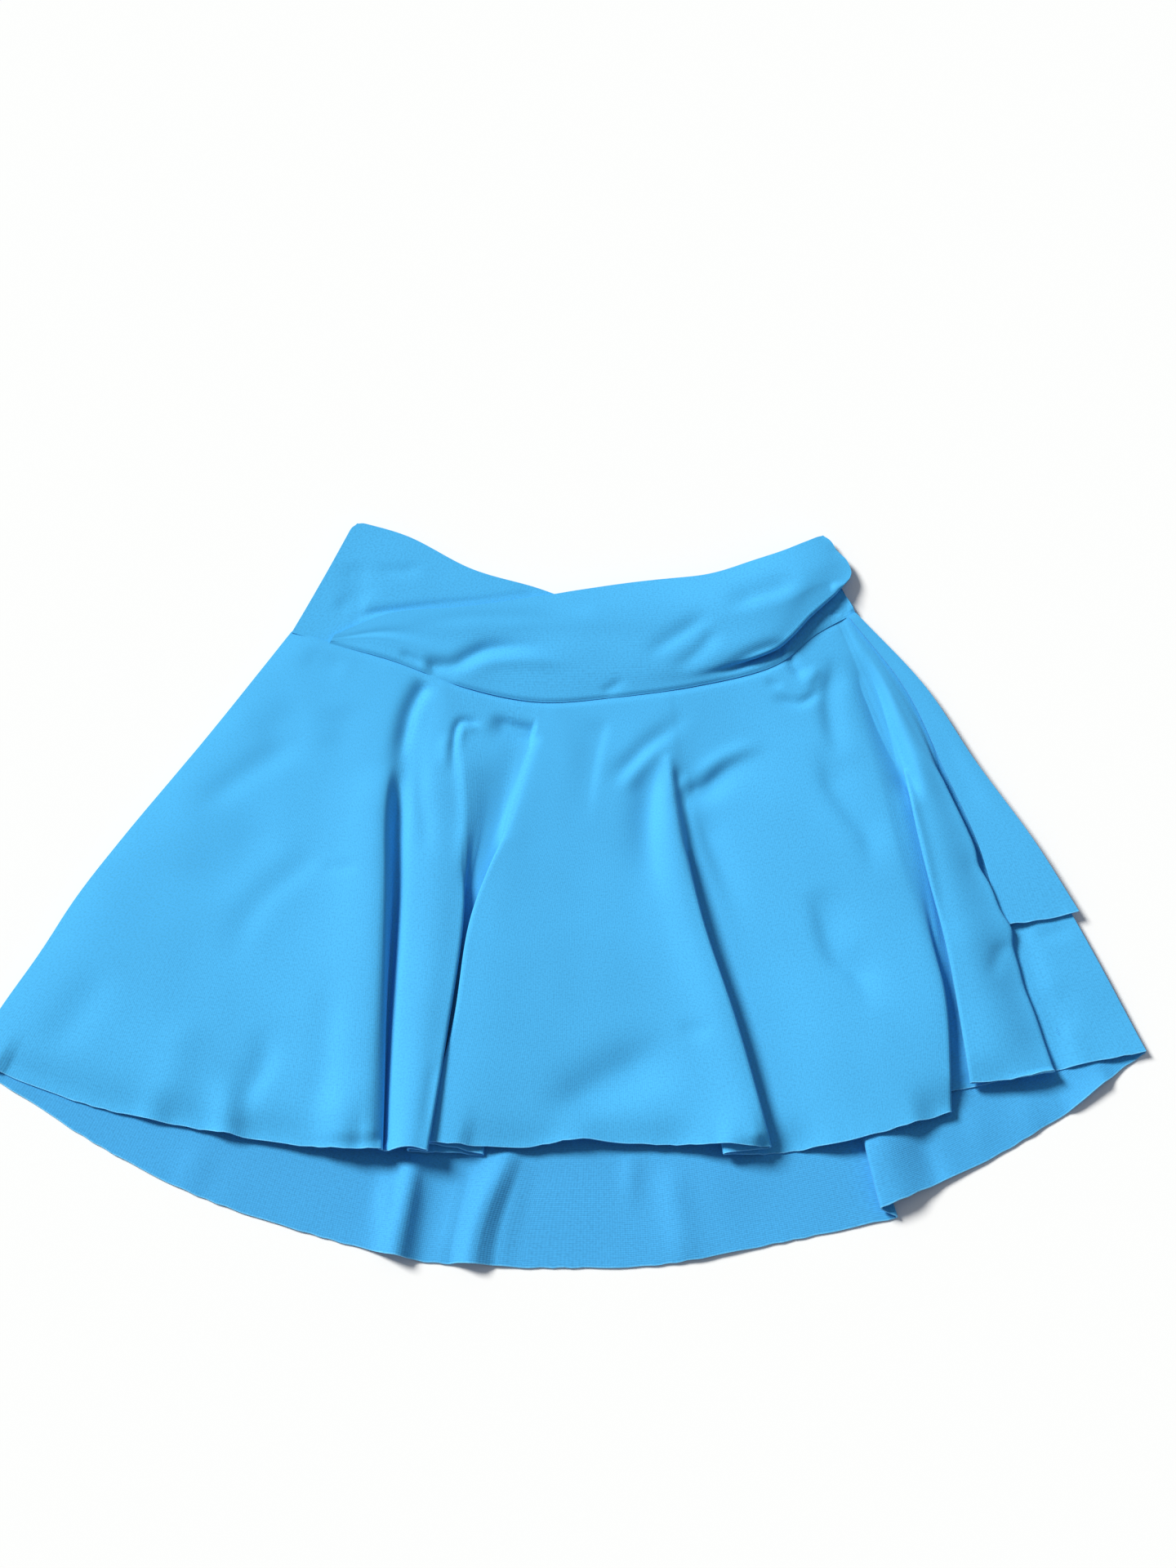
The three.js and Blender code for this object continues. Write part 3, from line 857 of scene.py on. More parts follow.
@dataclass
class Skirt:
    """The flared skirt below the seam: its front, its short side layer and its back.

    Each row of front_folds is a line of the front from the seam to the hem: its name, x at even steps
    down it, y at the hem, its heights, and on a folded edge its heights once turned. Each row of
    back_hem is a point of the back's hem: x, y and the rise of the cloth, and where that is a fold, the
    x that it is turned from and the rise once turned. Each row of short_lines is a line of the short
    layer: its points and its heights.
    """

    wall: float = 1.0
    front_folds: tuple[tuple[str, Row, float, Row, Row | None], ...] = (
        ("side_left", LEFT_SIDE, HEM_TIP_LEFT, (2.2, 2.2, 2.2), None),
        ("left_shoulder", (-158, -206, -256, -302, -337), -118, (3.6, 4.4, 5), None),
        ("left_crest", (-142, -183, -220, -255, -282), -140, (4.4, 6.2, 7), None),
        ("left_trough", (-125, -159, -185, -209, -228), -152, (4.6, 7, 7.5), None),
        ("left_wave", (-106, -131, -145, -158, -168), -164, (4.8, 9, 9.5), None),
        ("left_roll", (-92, -110, -114, -118, -121), -170, (5, 13, 14.5), None),
        ("left_edge", (-83, -102, -102, -103, -104), -169, (5, 12, 13.5), (4.8, 7, 8.5)),
        ("left_valley", (-77, -98, -100, -104, -107), -167, (4.6, 3.4, 5.5), None),
        ("flute_side", (-73, -91, -94, -99, -101), -170, (4.6, 4.4, 6.5), (5, 10, 13)),
        ("flute_crest", (-70, -75, -75, -82, -90), -169, (5.2, 13, 18.2), None),
        ("flute_edge", (-66, -58, -57, -66, -77), -171, (5.2, 11.5, 17), (5, 8, 14)),
        ("flute_tuck", (-60, -47, -60, -73, -89), -169, (5, 6.6, 11.5), (4.8, 3.6, 4.5)),
        ("middle_tuck", (-22, -32, -37, -41, -44), -170, (4.8, 3.6, 4.5), (5, 6.4, 7.4)),
        ("middle_left_edge", (-13, -27, -52, -63, -82), -164, (5, 8.4, 7.8), (5.2, 11.4, 10.6)),
        ("middle_left", (-5, -16, -35, -43, -61), -166, (5.3, 11.8, 11), None),
        ("middle_a", (4, 8, -3, -3, -9), -166, (5.4, 10, 9), None),
        ("middle_b", (14, 27, 24, 31, 33), -164, (5.4, 9, 9), None),
        ("middle_c", (42, 52, 58, 74, 85), -166, (5.4, 9, 10), None),
        ("middle_roll", (58, 64, 75, 96, 114), -168, (5.4, 13, 14), None),
        ("middle_edge", (66, 73, 86, 108, 127), -167, (5.4, 12.5, 13.5), (5.2, 9, 9.5)),
        ("right_tuck", (72, 80, 75, 86, 99), -172, (5.2, 6.9, 7.2), (5, 4, 4.4)),
        ("right_a", (94, 98, 110, 124, 135), -169, (5, 4.6, 4.8), None),
        ("right_b", (124, 133, 147, 159, 170), -164, (5, 9, 9), None),
        ("right_bend", (137, 151, 167, 180, 188), -160, (4.8, 10, 10), None),
        ("right_c", (150, 168, 187, 200, 205), -155, (4.4, 11, 11), None),
        ("right_edge", (168, 193, 211, 232, 235), -145, (3.6, 8.4, 10.8), (3.4, 6, 8.2)),
        ("right_under", (171, 197.5, 218, 226, 222), -134.5, (3.2, 5.6, 6.6), (3.2, 3.2, 3.6)),
        ("fourth_tuck", (173.5, 201.5, 230, 254, 270), -123, (3, 3.2, 3.6), (3, 6.2, 6.6)),
        ("fourth_left_edge", (176, 206, 219, 236, 247), -127, (3, 8.2, 7.6), (3.2, 12.4, 11)),
        ("fourth_crest", (178, 212, 233, 253, 271), -126, (3.2, 14.5, 12.5), None),
        ("fourth_right_edge", (180, 218, 251, 276, 297), -120, (3, 11.5, 10.5), (3, 8, 7.2)),
        ("fourth_under", (181.5, 223, 240, 261, 278), -122, (3, 7.2, 6.6), (3, 3.2, 3.6)),
        ("lower", (182.7, 228.5, 262, 294, 321), -113, (2.8, 3.2, 4.4), None),
        ("side_right", RIGHT_SIDE, HEM_TIP_RIGHT, (2.2, 3, 3.8), None),
    )
    back_hem: tuple[tuple[float, ...], ...] = (
        (-336, -124.7, 0), (-318, -134.4, 0), (-296, -150.1, 0), (-265, -169.3, 0), (-223, -191.4, 0),
        (-185, -206.4, 0), (-136, -221.4, 0), (-106, -229.5, 0), (-95, -233, 10.5), (-85, -234.6, 0),
        (-66, -236.4, 0, -58, 0), (-51, -237.4, 6.2, -35, 6.2), (-36, -238, 1, -20, 1),
        (-22, -238.8, 0, -8, 0), (19, -238.9, 0), (54, -238.4, 0), (90, -232.8, 1.5), (121, -225.8, 0),
        (157, -218.4, 0), (182, -212.6, 0), (201.5, -208.5, 0, 190, 3.4), (192, -204, 3.4, 196, 8),
        (204, -199.5, 9),
        (218, -192, 4.5), (234, -184.5, 1.5), (265, -168.8, 0), (289, -153.6, 0), (310, -140.5, 0),
        (328, -125.5, 2.6), (334, -120, 0.5), (342, -113.5, 0),
    )
    short_lines: tuple[tuple[Table, Row], ...] = (
        (((179.5, 174.9), (214, 126), (236, 74), (256, 24), (268.5, -27)), (4.9, 5.1, 5.2, 5.2, 5.2)),
        (((181, 175.7), (218, 127), (246, 76), (273, 26), (289, -25)), (4.9, 5.3, 5.5, 5.5, 5.3)),
        (((182.5, 176.3), (222, 127.5), (252, 77), (282, 27), (304, -21.5)), (4.9, 5.3, 5.7, 5.7, 5.5)),
        (((184, 176.7), (225.5, 128), (256, 77.5), (289, 28), (315.5, -18.5)), (4.6, 4.9, 5.3, 5.5, 5.4)),
    )
    ridge_start: float = 0.78
    ridge_full: float = 0.9
    tuck_start: float = 0.74
    front_creases: tuple[Crease, ...] = (
        # Head of the left valley, and the pocket between the flute and the middle panel
        Crease(
            ((-80, 132), (-86.5, 122), (-91.5, 110), (-94, 98.6), (-96.5, 84), (-97.5, 70)),
            3.4, 5, 5.5, 0.12, 0.4,
        ),
        Crease(
            ((-46, 102), (-52.5, 104), (-58.6, 104.5), (-62, 101), (-63.6, 93), (-64.6, 78), (-62, 62)),
            1.9, 2.6, 2.6, 0.2, 0.4,
        ),
        Crease(((-47, 98.5), (-53, 100), (-58, 99.5), (-60, 93), (-60.5, 82)), -1.0, 2.8, 2.8),
        Crease(((-67, 98), (-69, 85), (-68, 70)), -1.0, 4, 4),
        Crease(((-43, 107.5), (-34, 104), (-24, 101), (-13, 99)), 3.4, 3.5, 9, 0.4, 0.1),
        Crease(
            ((-13, 99), (-17, 92), (-21.5, 80), (-26, 66), (-32, 50), (-40, 28), (-49, 4)),
            1.9, 4.2, 14, 0.15, 0.3,
        ),
        # Upper half of the middle panel, down to where its right edge begins
        Crease(((29, 108), (26, 96), (23, 83), (20, 66), (18, 49), (17, 30)), 1.2, 3.5, 12, 0.2, 0.5),
        Crease(((84, 113), (70, 101), (57, 90), (46, 79), (37, 69), (31, 58)), 2.1, 5, 6, 0.4, 0.4),
        Crease(((67, 93), (55, 80), (45, 67), (39, 55)), -1.2, 5, 5),
        Crease(
            ((61, 86), (59, 72), (57, 55), (56, 38), (56, 20), (58, 2), (62, -15)),
            4.2, 6, 11, 0.3, 0.6,
        ),
        Crease(((67, 84), (68.5, 72), (71, 56)), -1.2, 3.4, 3, 0.3, 0.5),
        Crease(((71.5, 76), (74, 60), (77, 42), (81, 20)), 2.2, 5, 2.6, 0.2, 0.4),
        # The hook at that edge and the hollow below it
        Crease(
            ((76, 65), (83, 60.5), (90, 62), (97, 68), (106, 74.5), (118, 79), (138, 81)),
            3.0, 5, 10, 0.18, 0.6,
        ),
        Crease(((80, 70), (90, 73), (100, 80), (114, 86), (128, 88)), -1.4, 5, 5),
        Crease(((84, 52), (93, 26), (104, -4), (116, -40)), 2.0, 10, 5, 0.3, 0.6),
        # Short creases under the seam at the right
        Crease(((141.5, 148), (146, 140), (152, 134)), 2.2, 3.5, 3, 0.15, 0.35),
        Crease(((130, 121), (139, 118.5), (149, 117), (157, 122), (161, 131)), 1.9, 3, 3.5),
        Crease(((127, 131), (133, 129), (138, 127.5)), 1.0, 2.5, 2.5),
        Crease(((150, 127), (156, 134), (160, 142)), -1.2, 3, 3),
        # Long troughs of the right panel, and the hollow beside it
        Crease(((172, 152), (169, 136), (166, 122), (167, 105), (170, 90), (174, 78)), 2.5, 9, 5, 0.3, 0.4),
        Crease(
            ((163, 92), (164.5, 73), (169, 58), (179, 42), (187.5, 30), (191, 15), (193, -4)),
            2.4, 12, 6, 0.3, 0.4,
        ),
        Crease(
            ((153, -3), (159, -20), (166, -46), (178, -58), (186, -70), (190, -88)),
            2.8, 13, 6, 0.3, 0.4,
        ),
        Crease(
            ((184, 154), (193, 134), (199, 118), (203, 103), (208, 88), (214, 70), (221, 48)),
            4.2, 3.5, 11, 0.25, 0.15,
        ),
        # Low on the fourth panel and the middle panel
        Crease(((261, -66), (265, -48), (272, -37)), 1.1, 4, 4),
        Crease(((-8, -160), (11, -140), (30, -126), (52, -114), (78, -95)), 4.6, 15, 22),
        Crease(((72, -97), (82, -95), (93, -100)), 0.8, 5, 7),
        # The left panel, wide and very soft
        Crease(((-184, 88), (-170, 103), (-152, 117)), 0.9, 12, 11),
        Crease(((-135, 118), (-133, 97), (-135, 74)), 0.9, 12, 12),
        Crease(((-160, 150), (-145, 143), (-129, 139)), 0.6, 8, 8),
        Crease(((-191, -151), (-184, -132), (-175, -113), (-179, -89)), 2.2, 10, 7),
        Crease(((-235, -150), (-228, -114), (-222, -79)), -1.3, 12, 12),
        Crease(((-147, -162), (-140, -130), (-137, -94), (-138, -53)), 1.5, 10, 8),
        Crease(((-146, 10), (-133, 7.5), (-118, 10)), 0.6, 4, 5),
        Crease(((-218, -16), (-195, 15), (-172, 46)), 1.5, 20, 16),
        Crease(((-226, 42), (-200, 64), (-172, 84), (-148, 98)), 1.3, 9, 9),
        Crease(((-200, -58), (-184, -18), (-160, 6), (-136, 24)), 1.3, 10, 8),
        Crease(((-308, -112), (-290, -84), (-268, -48)), 1.4, 14, 12),
        # The left valley and the roll beside it
        Crease(((-82, 93), (-84, 61), (-81, 35), (-79, 9)), 1.2, 5, 4),
        Crease(
            ((-97, 74), (-97.5, 40), (-98, 5), (-100.5, -40), (-104, -110), (-106, -168)),
            2.6, 4.5, 3, 0.2, 0.02,
        ),
        Crease(((-103, 78), (-105, 50), (-105.5, 0), (-106, -60), (-107, -168)), -3.2, 3, 32, 0.3, 0.02),
        # Rolls and slopes along the right edges of the middle, right and fourth panels
        Crease(
            ((67, 74), (69.5, 53), (72.5, 32), (76, 11), (83, -14), (93, -45), (105, -90), (116, -130),
             (124, -166)),
            -2.6, 3.5, 15, 0.25, 0.02,
        ),
        Crease(
            ((196, 118), (206, 84), (214, 50), (222, 12), (230, -50), (233, -100), (233, -146)),
            -2.6, 4, 26, 0.3, 0.25,
        ),
        Crease(
            ((226, 84), (236, 60), (250, 32), (256, 12), (262, -10), (274, -30), (277, -50), (283, -68),
             (290, -85),
             (296, -104), (300, -120)), 3.6, 8, 20, 0.15, 0.02,
        ),
        Crease(
            ((272, -20), (276, -40), (281, -60), (290, -85), (296, -104), (300, -120)),
            2.2, 8, 20, 0.3, 0.3,
        ),
        # Hems that sink onto the layer below
        Crease(((240, -136), (256, -131), (272, -127), (290, -122)), 3.6, 14, 10, 0.05, 0.5),
        Crease(
            ((-335, -119), (-300, -132), (-260, -145), (-220, -154), (-180, -161), (-140, -167),
             (-112, -169)),
            5.0, 15, 10, 0.02, 0.04,
        ),
        Crease(
            ((-58, -165), (-30, -168), (0, -165), (30, -164), (60, -166), (104, -168)),
            3.6, 14, 10, 0.05, 0.05,
        ),
        Crease(((120, -171), (140, -169), (164, -165)), 4.6, 14, 10, 0.05, 0.5),
        Crease(((212, -153), (226, -148), (240, -144)), 4.4, 14, 10, 0.5, 0.02),
        # Small waves at the hem of the flute and the left panel
        Crease(((-79, -167), (-76, -136), (-72, -111)), 0.8, 3, 3),
        Crease(((-198, -161), (-197, -140), (-194, -118)), -4.4, 10, 9, 0.02, 0.8),
        Crease(((-128, -171), (-127, -150), (-125, -115)), -5.0, 13, 14, 0.02, 0.8),
        Crease(((-243, -150), (-241, -138), (-238, -120)), -1.8, 9, 9, 0.02, 0.8),
        # The flute's right shoulder
        Crease(((-60, 98), (-57.5, 78), (-56, 60), (-55, 42), (-56, 22), (-59, -2)), -2.8, 24, 5, 0.3, 0.3),
        # Small hollows in the lower layer at the right
        Crease(((301, -60), (304, -80), (306, -98)), 0.9, 8, 7, 0.4, 0.4),
        Crease(((286, -35), (300, -32), (314, -28)), 0.6, 5, 5),
        Crease(((277, -33), (285, -52), (286, -77)), 0.8, 7, 6),
    )
    front_patches: tuple[Patch, ...] = (
        Patch((-56, 66), (11, 22), 40),
        Patch((-35, 31), (6, 12), 12),
        Patch((76, 56), (12, 22), 30),
        Patch((-93, 70), (8, 25), 12),
        Patch((208, 92), (10, 28), 20),
        Patch((219, 24), (9, 38), 10),
        Patch((228, -38), (8, 34), 8),
    )
    front_pulls: tuple[Pull, ...] = (
        Pull((-322, -42), (4.4, -0.4, 0), 38),
        Pull((13, -165), (0, 2.6, 4.2), 19),
        Pull((-25, -166), (0, -1.2, 0), 16),
        Pull((94, -166), (0, 0.6, 4.0), 15),
        Pull((256, 9), (-2.5, 0, 0), 9),
        Pull((274, -29), (3.6, 0, 0), 8),
        Pull((281, -67), (-1.2, 0, 0), 13),
    )
    short_creases: tuple[Crease, ...] = (
        Crease(((255, 17), (256, 9), (254.5, 1)), 1.0, 3, 3),
        Crease(((232, 100), (246, 70), (262, 40)), 0.5, 6, 6),
    )
    back_pulls: tuple[Pull, ...] = (Pull((-322, -42), (5.5, -0.4, 0), 38),)
    back_creases: tuple[Crease, ...] = (
        Crease(((210, -152), (220, -170), (228, -190)), 2.4, 7, 9, 0.3, 0.2),
        Crease(((-26, -162), (-31, -180), (-39, -200)), -2.0, 7, 8, 0.2, 0.5),
        Crease(((-104, -186), (-102, -205), (-99, -231)), -2.6, 6, 4, 0.3, 0.05),
        Crease(((-57, -186), (-60, -205), (-66, -232)), -1.4, 7, 5, 0.3, 0.05),
        Crease(((44, -168), (43.5, -183), (44, -203)), -1.4, 6, 5, 0.3, 0.4),
        Crease(((66, -172), (70, -203), (76, -232)), -1.8, 9, 8, 0.3, 0.1),
        Crease(((-210, -163), (-215, -175), (-217, -188)), -1.0, 9, 9),
        Crease(((272, -135), (283, -148), (291, -153)), -1.2, 8, 8),
        Crease(((306, -146), (316, -135), (331, -124)), -2.4, 3, 4, 0.2, 0.05),
        Crease(((247, -163), (252, -153), (250, -145)), -1.0, 6, 6),
    )

    def front_sheet(self) -> Sheet:
        """The front's sheet, each line a fold from the seam to the hem.

        Returns:
            The sheet.
        """
        lines = []
        for _, x, hem, z, over in self.front_folds:
            top = float(SEAM.height_on(x[0]))
            lines.append(Line(x, (top, hem), z, over))
        return Sheet(tuple(lines), seam=SEAM, tuck=1.0)

    def back_sheet(self) -> Sheet:
        """The back's sheet: flat under the front, with ridges and one fold near the hem.

        Returns:
            The sheet.
        """
        fine = np.linspace(0, 1, BACK_LINE_STEPS + 1)
        swell = smooth_step(self.ridge_start, self.ridge_full, fine)
        turned = smooth_step(self.tuck_start, 1, fine)
        seam_width = RIGHT_SIDE[0] - LEFT_SIDE[0]
        half = RIGHT_SIDE[-1]
        rest = self.wall / 2
        left_top, right_top = (float(BACK_SEAM.height_on(side[0])) for side in (LEFT_SIDE, RIGHT_SIDE))
        lines = [Line(LEFT_SIDE, (left_top, HEM_TIP_LEFT), (rest, rest))]
        for x, y, rise, *fold in self.back_hem:
            plain = fold[0] if fold else x
            top_x = LEFT_SIDE[0] + seam_width * (plain + half) / (2 * half)
            top_y = float(BACK_SEAM.height_on(top_x))
            lines.append(
                Line(
                    tuple(top_x + (plain - top_x) * fine + (x - plain) * turned),
                    (top_y, y),
                    tuple(rest + rise * swell),
                    tuple(rest + fold[1] * swell) if fold else None,
                )
            )
        lines.append(Line(RIGHT_SIDE, (right_top, HEM_TIP_RIGHT), (rest, rest)))
        return Sheet(tuple(lines), seam=BACK_SEAM, tuck=-0.3)

    def pieces(self) -> list[ClothPiece]:
        """The skirt's pieces of cloth, from the surface up.

        Returns:
            The back, the short side layer and the front.
        """
        back = ClothPiece(
            "skirt_back_cloth", self.back_sheet(), across=260, down=120, wall=self.wall,
            creases=self.back_creases, finish=WRONG_SIDE_SHADED_KNIT, held=Held.LAID, rests_on=("floor",),
            wander=0.12, hem_curl=0.25, measured_at=0.97, rows=(2.2, 1.9, 1.0, 0.5, 0.35),
            pulls=self.back_pulls,
        )
        short_sheet = Sheet(tuple(line_of(at, z) for at, z in self.short_lines), seam=SEAM, tuck=-0.3)
        short_layer = ClothPiece(
            "side_short_layer_cloth", short_sheet, across=60, down=90, wall=self.wall,
            creases=self.short_creases, finish=RIGHT_SIDE_KNIT, held=Held.LAID,
            rests_on=("skirt_back_cloth", "skirt_front_cloth"), wander=0.2, hem_curl=0.3, floor=2.6,
        )
        front = ClothPiece(
            "skirt_front_cloth", self.front_sheet(), across=330, down=144, wall=self.wall,
            creases=self.front_creases, finish=RIGHT_SIDE_KNIT, held=Held.FOLDED,
            rests_on=("skirt_back_cloth",), wander=0.45, hem_curl=0.4, floor=1.15,
            pulls=self.front_pulls, patches=self.front_patches,
            ease_rounds=60, ease_full=0.05, ease_end=0.26,
        )
        return [back, short_layer, front]


@dataclass
class Yoke:
    """The wide waist yoke: its back, its left front and, laid across it, its right front.

    The tables are lines of cloth from the waist down: points, and heights at even steps. A row of
    over_lines has its name first, then its heights, its heights once turned, and its points.
    """

    wall: float = 1.6
    seam_dip: float = 1.1
    seam_width: float = 1.5
    over_top: tuple[Table, Row] = (
        ((-138.5, 162.2), (-103, 176), (-58, 180), (-12, 187), (33, 194), (84, 201), (130, 213), (153, 223),
         (165, 230)),
        (5.2, 6.4, 6.6, 9, 3.2),
    )
    over_lines: tuple[tuple[str, Row, Row | None, Table], ...] = (
        ("upper", (5.2, 6.8, 8.2, 12.5, 4.6), None,
         ((-139, 161.3), (-102, 171.5), (-57, 173), (-12, 178), (34, 182), (86, 188), (134, 198), (162, 210),
          (177, 217))),
        ("middle", (5.2, 6.8, 8.6, 15, 6.2), None,
         ((-139.4, 160.5), (-102, 167), (-56, 166), (-12, 170), (35, 170), (87, 173), (134, 181), (160, 195),
          (182, 204))),
        ("trough", (5.2, 5.2, 7.8, 14, 7.4), None,
         ((-139.8, 159.8), (-101.6, 162.8), (-58, 151), (-22, 160), (36, 159), (90, 160), (132, 170),
          (156, 186), (181, 199))),
        ("ridge", (5.2, 7.8, 8.2, 13.5, 8.2), None,
         ((-140.2, 159.1), (-101.4, 158.8), (-55, 142.5), (-14, 149), (36, 146), (92, 148), (130, 159),
          (154, 180), (178, 195))),
        ("roll", (5.2, 7.2, 7.6, 12.5, 8.4), (5.2, 6.8, 7.2, 9, 5.8),
         ((-140.5, 158.4), (-101.2, 155.2), (-56, 136), (-13, 135.4), (37, 136), (94, 139), (134, 151),
          (157, 174), (175, 192))),
        ("tuck", (5.2, 6.4, 6.8, 8.2, 5.6), (5.2, 6, 6.2, 5.2, 3),
         ((-140.9, 157.8), (-101.6, 151.6), (-56, 133), (-13, 129), (37, 130), (91, 136), (131, 155),
          (152, 181), (170, 197))),
        ("strip", (5.2, 5.8, 5.8, 5.2, 3), None,
         ((-141.2, 157.1), (-102.2, 148.4), (-56.5, 130), (-12.5, 122), (35, 124.6), (88, 132), (132, 147),
          (160, 168), (181, 185))),
    )
    over_seam_z: Row = (5.2, 5.4, 5.4, 5, 3)
    over_seam_start: float = -141.6
    under_lines: tuple[tuple[Table, Row], ...] = (
        (((-127, 239), (-93, 228), (-54, 206.5), (-14, 194), (16, 182)), (3, 3, 3, 3, 3)),
        (((-146, 199), (-108, 186), (-70, 168), (-31, 155), (8, 147)), (3, 4.6, 3.2, 3, 3)),
    )
    under_seam_z: Row = (3, 3.1, 3, 3, 3)
    under_seam_end: float = 3.0
    back_top: Table = ((-125.5, 237.5), (-63, 207), (8, 181), (89, 196), (161, 226))
    over_creases: tuple[Crease, ...] = (
        Crease(
            ((-84, 140), (-75, 141.5), (-64, 142), (-54.5, 147.5), (-45, 152), (-31, 153.5), (-13, 153.5),
             (6, 151)),
            3.2, 5, 5.5, 0.12, 0.5,
        ),
        Crease(((-58, 135), (-46, 141.5), (-28, 144), (-8, 143), (12, 140)), -1.2, 5, 5),
        Crease(((-99, 150), (-90, 146), (-82, 141)), 1.1, 3, 3),
        Crease(((-82, 137.5), (-72, 134), (-62, 129)), 0.8, 3, 3),
        Crease(((52, 143), (62, 152), (74, 160), (86, 168), (98, 174)), 1.5, 6, 5),
        Crease(((66, 135), (78, 142), (88, 150), (94, 158), (98, 166)), 1.5, 5, 6),
        Crease(((26, 122.5), (33, 127), (42, 133)), 0.9, 3, 4),
        Crease(((96, 135.5), (108, 141), (121, 147.5), (133, 151.5), (141, 151)), 2.0, 4, 4, 0.4, 0.1),
        Crease(((100, 176), (118, 184), (136, 190), (152, 199)), 1.8, 8, 6),
        Crease(((168, 190), (176, 190.5), (182, 184), (184.5, 177)), -1.7, 3.5, 3, 0.2, 0.2),
        Crease(((166, 175), (171, 178.5), (176, 179), (180, 176), (186, 175.5)), 1.8, 2.4, 2.4, 0.25, 0.05),
        Crease(((-133, 171), (-123, 177), (-108, 181)), 0.8, 4, 4),
        Crease(((-103, 165), (-62, 172), (-22, 173), (10, 172)), 0.6, 5, 5),
        Crease(((-22, 203), (3, 182), (26, 174)), 0.5, 6, 6),
    )
    over_patches: tuple[Patch, ...] = (
        Patch((-62, 137), (52, 15), 500),
        Patch((4, 131), (62, 13), 500),
        Patch((62, 135), (40, 12), 300),
    )
    over_pulls: tuple[Pull, ...] = (
        Pull((165, 230), (-0.4, -1.2, 0), 4),
        Pull((176, 219), (-2.2, 0, 0), 6),
        Pull((96, 203), (0, -2.2, 0), 22),
        Pull((-140, 160), (0, 0, -0.95), 18),
    )
    under_pulls: tuple[Pull, ...] = (
        Pull((-127, 239), (1.3, -1.8, 0), 3.6),
        Pull((-140, 160), (0, 0, -0.4), 20),
    )
    back_pulls: tuple[Pull, ...] = (
        Pull((-125.5, 237.5), (1.3, -1.8, 0), 3.6),
        Pull((161, 226), (-1.5, -4, 0), 6),
        Pull((96, 198), (0, -4, 0), 24),
    )
    under_creases: tuple[Crease, ...] = (
        Crease(((-117, 208), (-104, 205.5), (-94, 205.5), (-82, 209)), 0.7, 4, 5),
        Crease(
            ((-131, 170), (-117, 176.5), (-96, 179.5), (-82, 181), (-64, 182.5), (-45, 184), (-27, 186.5),
             (-13, 189)),
            1.3, 3, 3, 0.2, 0.1,
        ),
        Crease(((-127, 214), (-125, 196), (-120, 181)), 1.1, 9, 9),
        Crease(((-141, 185), (-128, 181), (-118, 178)), 0.9, 6, 6),
    )

    def over_sheet(self) -> Sheet:
        """The over piece's sheet, from its crossover edge down to the seam.

        Returns:
            The sheet.
        """
        at, z = self.over_top
        lines = [line_of(at, z)] + [line_of(points, z, over) for _, z, over, points in self.over_lines]
        start = float(SEAM.place_of(self.over_seam_start))
        lines.append(self._seam_line(start, 1.0, self.over_seam_z))
        return Sheet(tuple(lines))

    def under_sheet(self) -> Sheet:
        """The under piece's sheet, from its waist to the seam.

        Returns:
            The sheet.
        """
        lines = [line_of(at, z) for at, z in self.under_lines]
        end = float(SEAM.place_of(self.under_seam_end))
        lines.append(self._seam_line(0.0, end, self.under_seam_z))
        return Sheet(tuple(lines))

    def back_sheet(self) -> Sheet:
        """The back's sheet, which lies flat on the surface.

        Returns:
            The sheet.
        """
        end = BACK_SEAM.points
        middle = tuple(((p[0] + q[0]) / 2, (p[1] + q[1]) / 2) for p, q in zip(self.back_top, end))
        height = (self.wall / 2, self.wall / 2)
        return Sheet(tuple(line_of(at, height) for at in (self.back_top, middle, end)))

    def _seam_line(self, start: float, end: float, z: Row) -> Line:
        """The part of the seam between two of its places, as a line of cloth.

        Args:
            start: Where it begins along the seam.
            end: Where it ends.
            z: Its heights at even steps.

        Returns:
            The line.
        """
        x, y = SEAM.at(np.linspace(start, end, SEAM_LINE_STEPS + 1))
        return Line(tuple(x), tuple(y), z)

    def pieces(self) -> list[ClothPiece]:
        """The yoke's pieces of cloth, from the surface up.

        Returns:
            The back, the under piece and the over piece.
        """
        back = ClothPiece(
            "yoke_back_cloth", self.back_sheet(), across=40, down=90, wall=self.wall, creases=(),
            finish=WRONG_SIDE_SHADED_KNIT, held=Held.LAID, rests_on=("floor",), ending=Ending.SEWN,
            wander=0.0, seam_dip=self.seam_dip, seam_width=self.seam_width, pulls=self.back_pulls,
        )
        under = ClothPiece(
            "yoke_front_under_cloth", self.under_sheet(), across=70, down=100, wall=self.wall,
            creases=self.under_creases, finish=RIGHT_SIDE_KNIT, held=Held.LAID,
            rests_on=("yoke_back_cloth",), ending=Ending.SEWN, wander=0.25, seam_dip=self.seam_dip,
            seam_width=self.seam_width, floor=1.7, pulls=self.under_pulls,
        )
        over = ClothPiece(
            "yoke_front_over_cloth", self.over_sheet(), across=150, down=170, wall=self.wall,
            creases=self.over_creases, finish=RIGHT_SIDE_KNIT, held=Held.FOLDED,
            rests_on=("yoke_front_under_cloth", "yoke_back_cloth"), ending=Ending.SEWN, wander=0.4,
            seam_dip=self.seam_dip, seam_width=self.seam_width, floor=1.7, measured_at=0.75,
            pulls=self.over_pulls, patches=self.over_patches,
        )
        return [back, under, over]


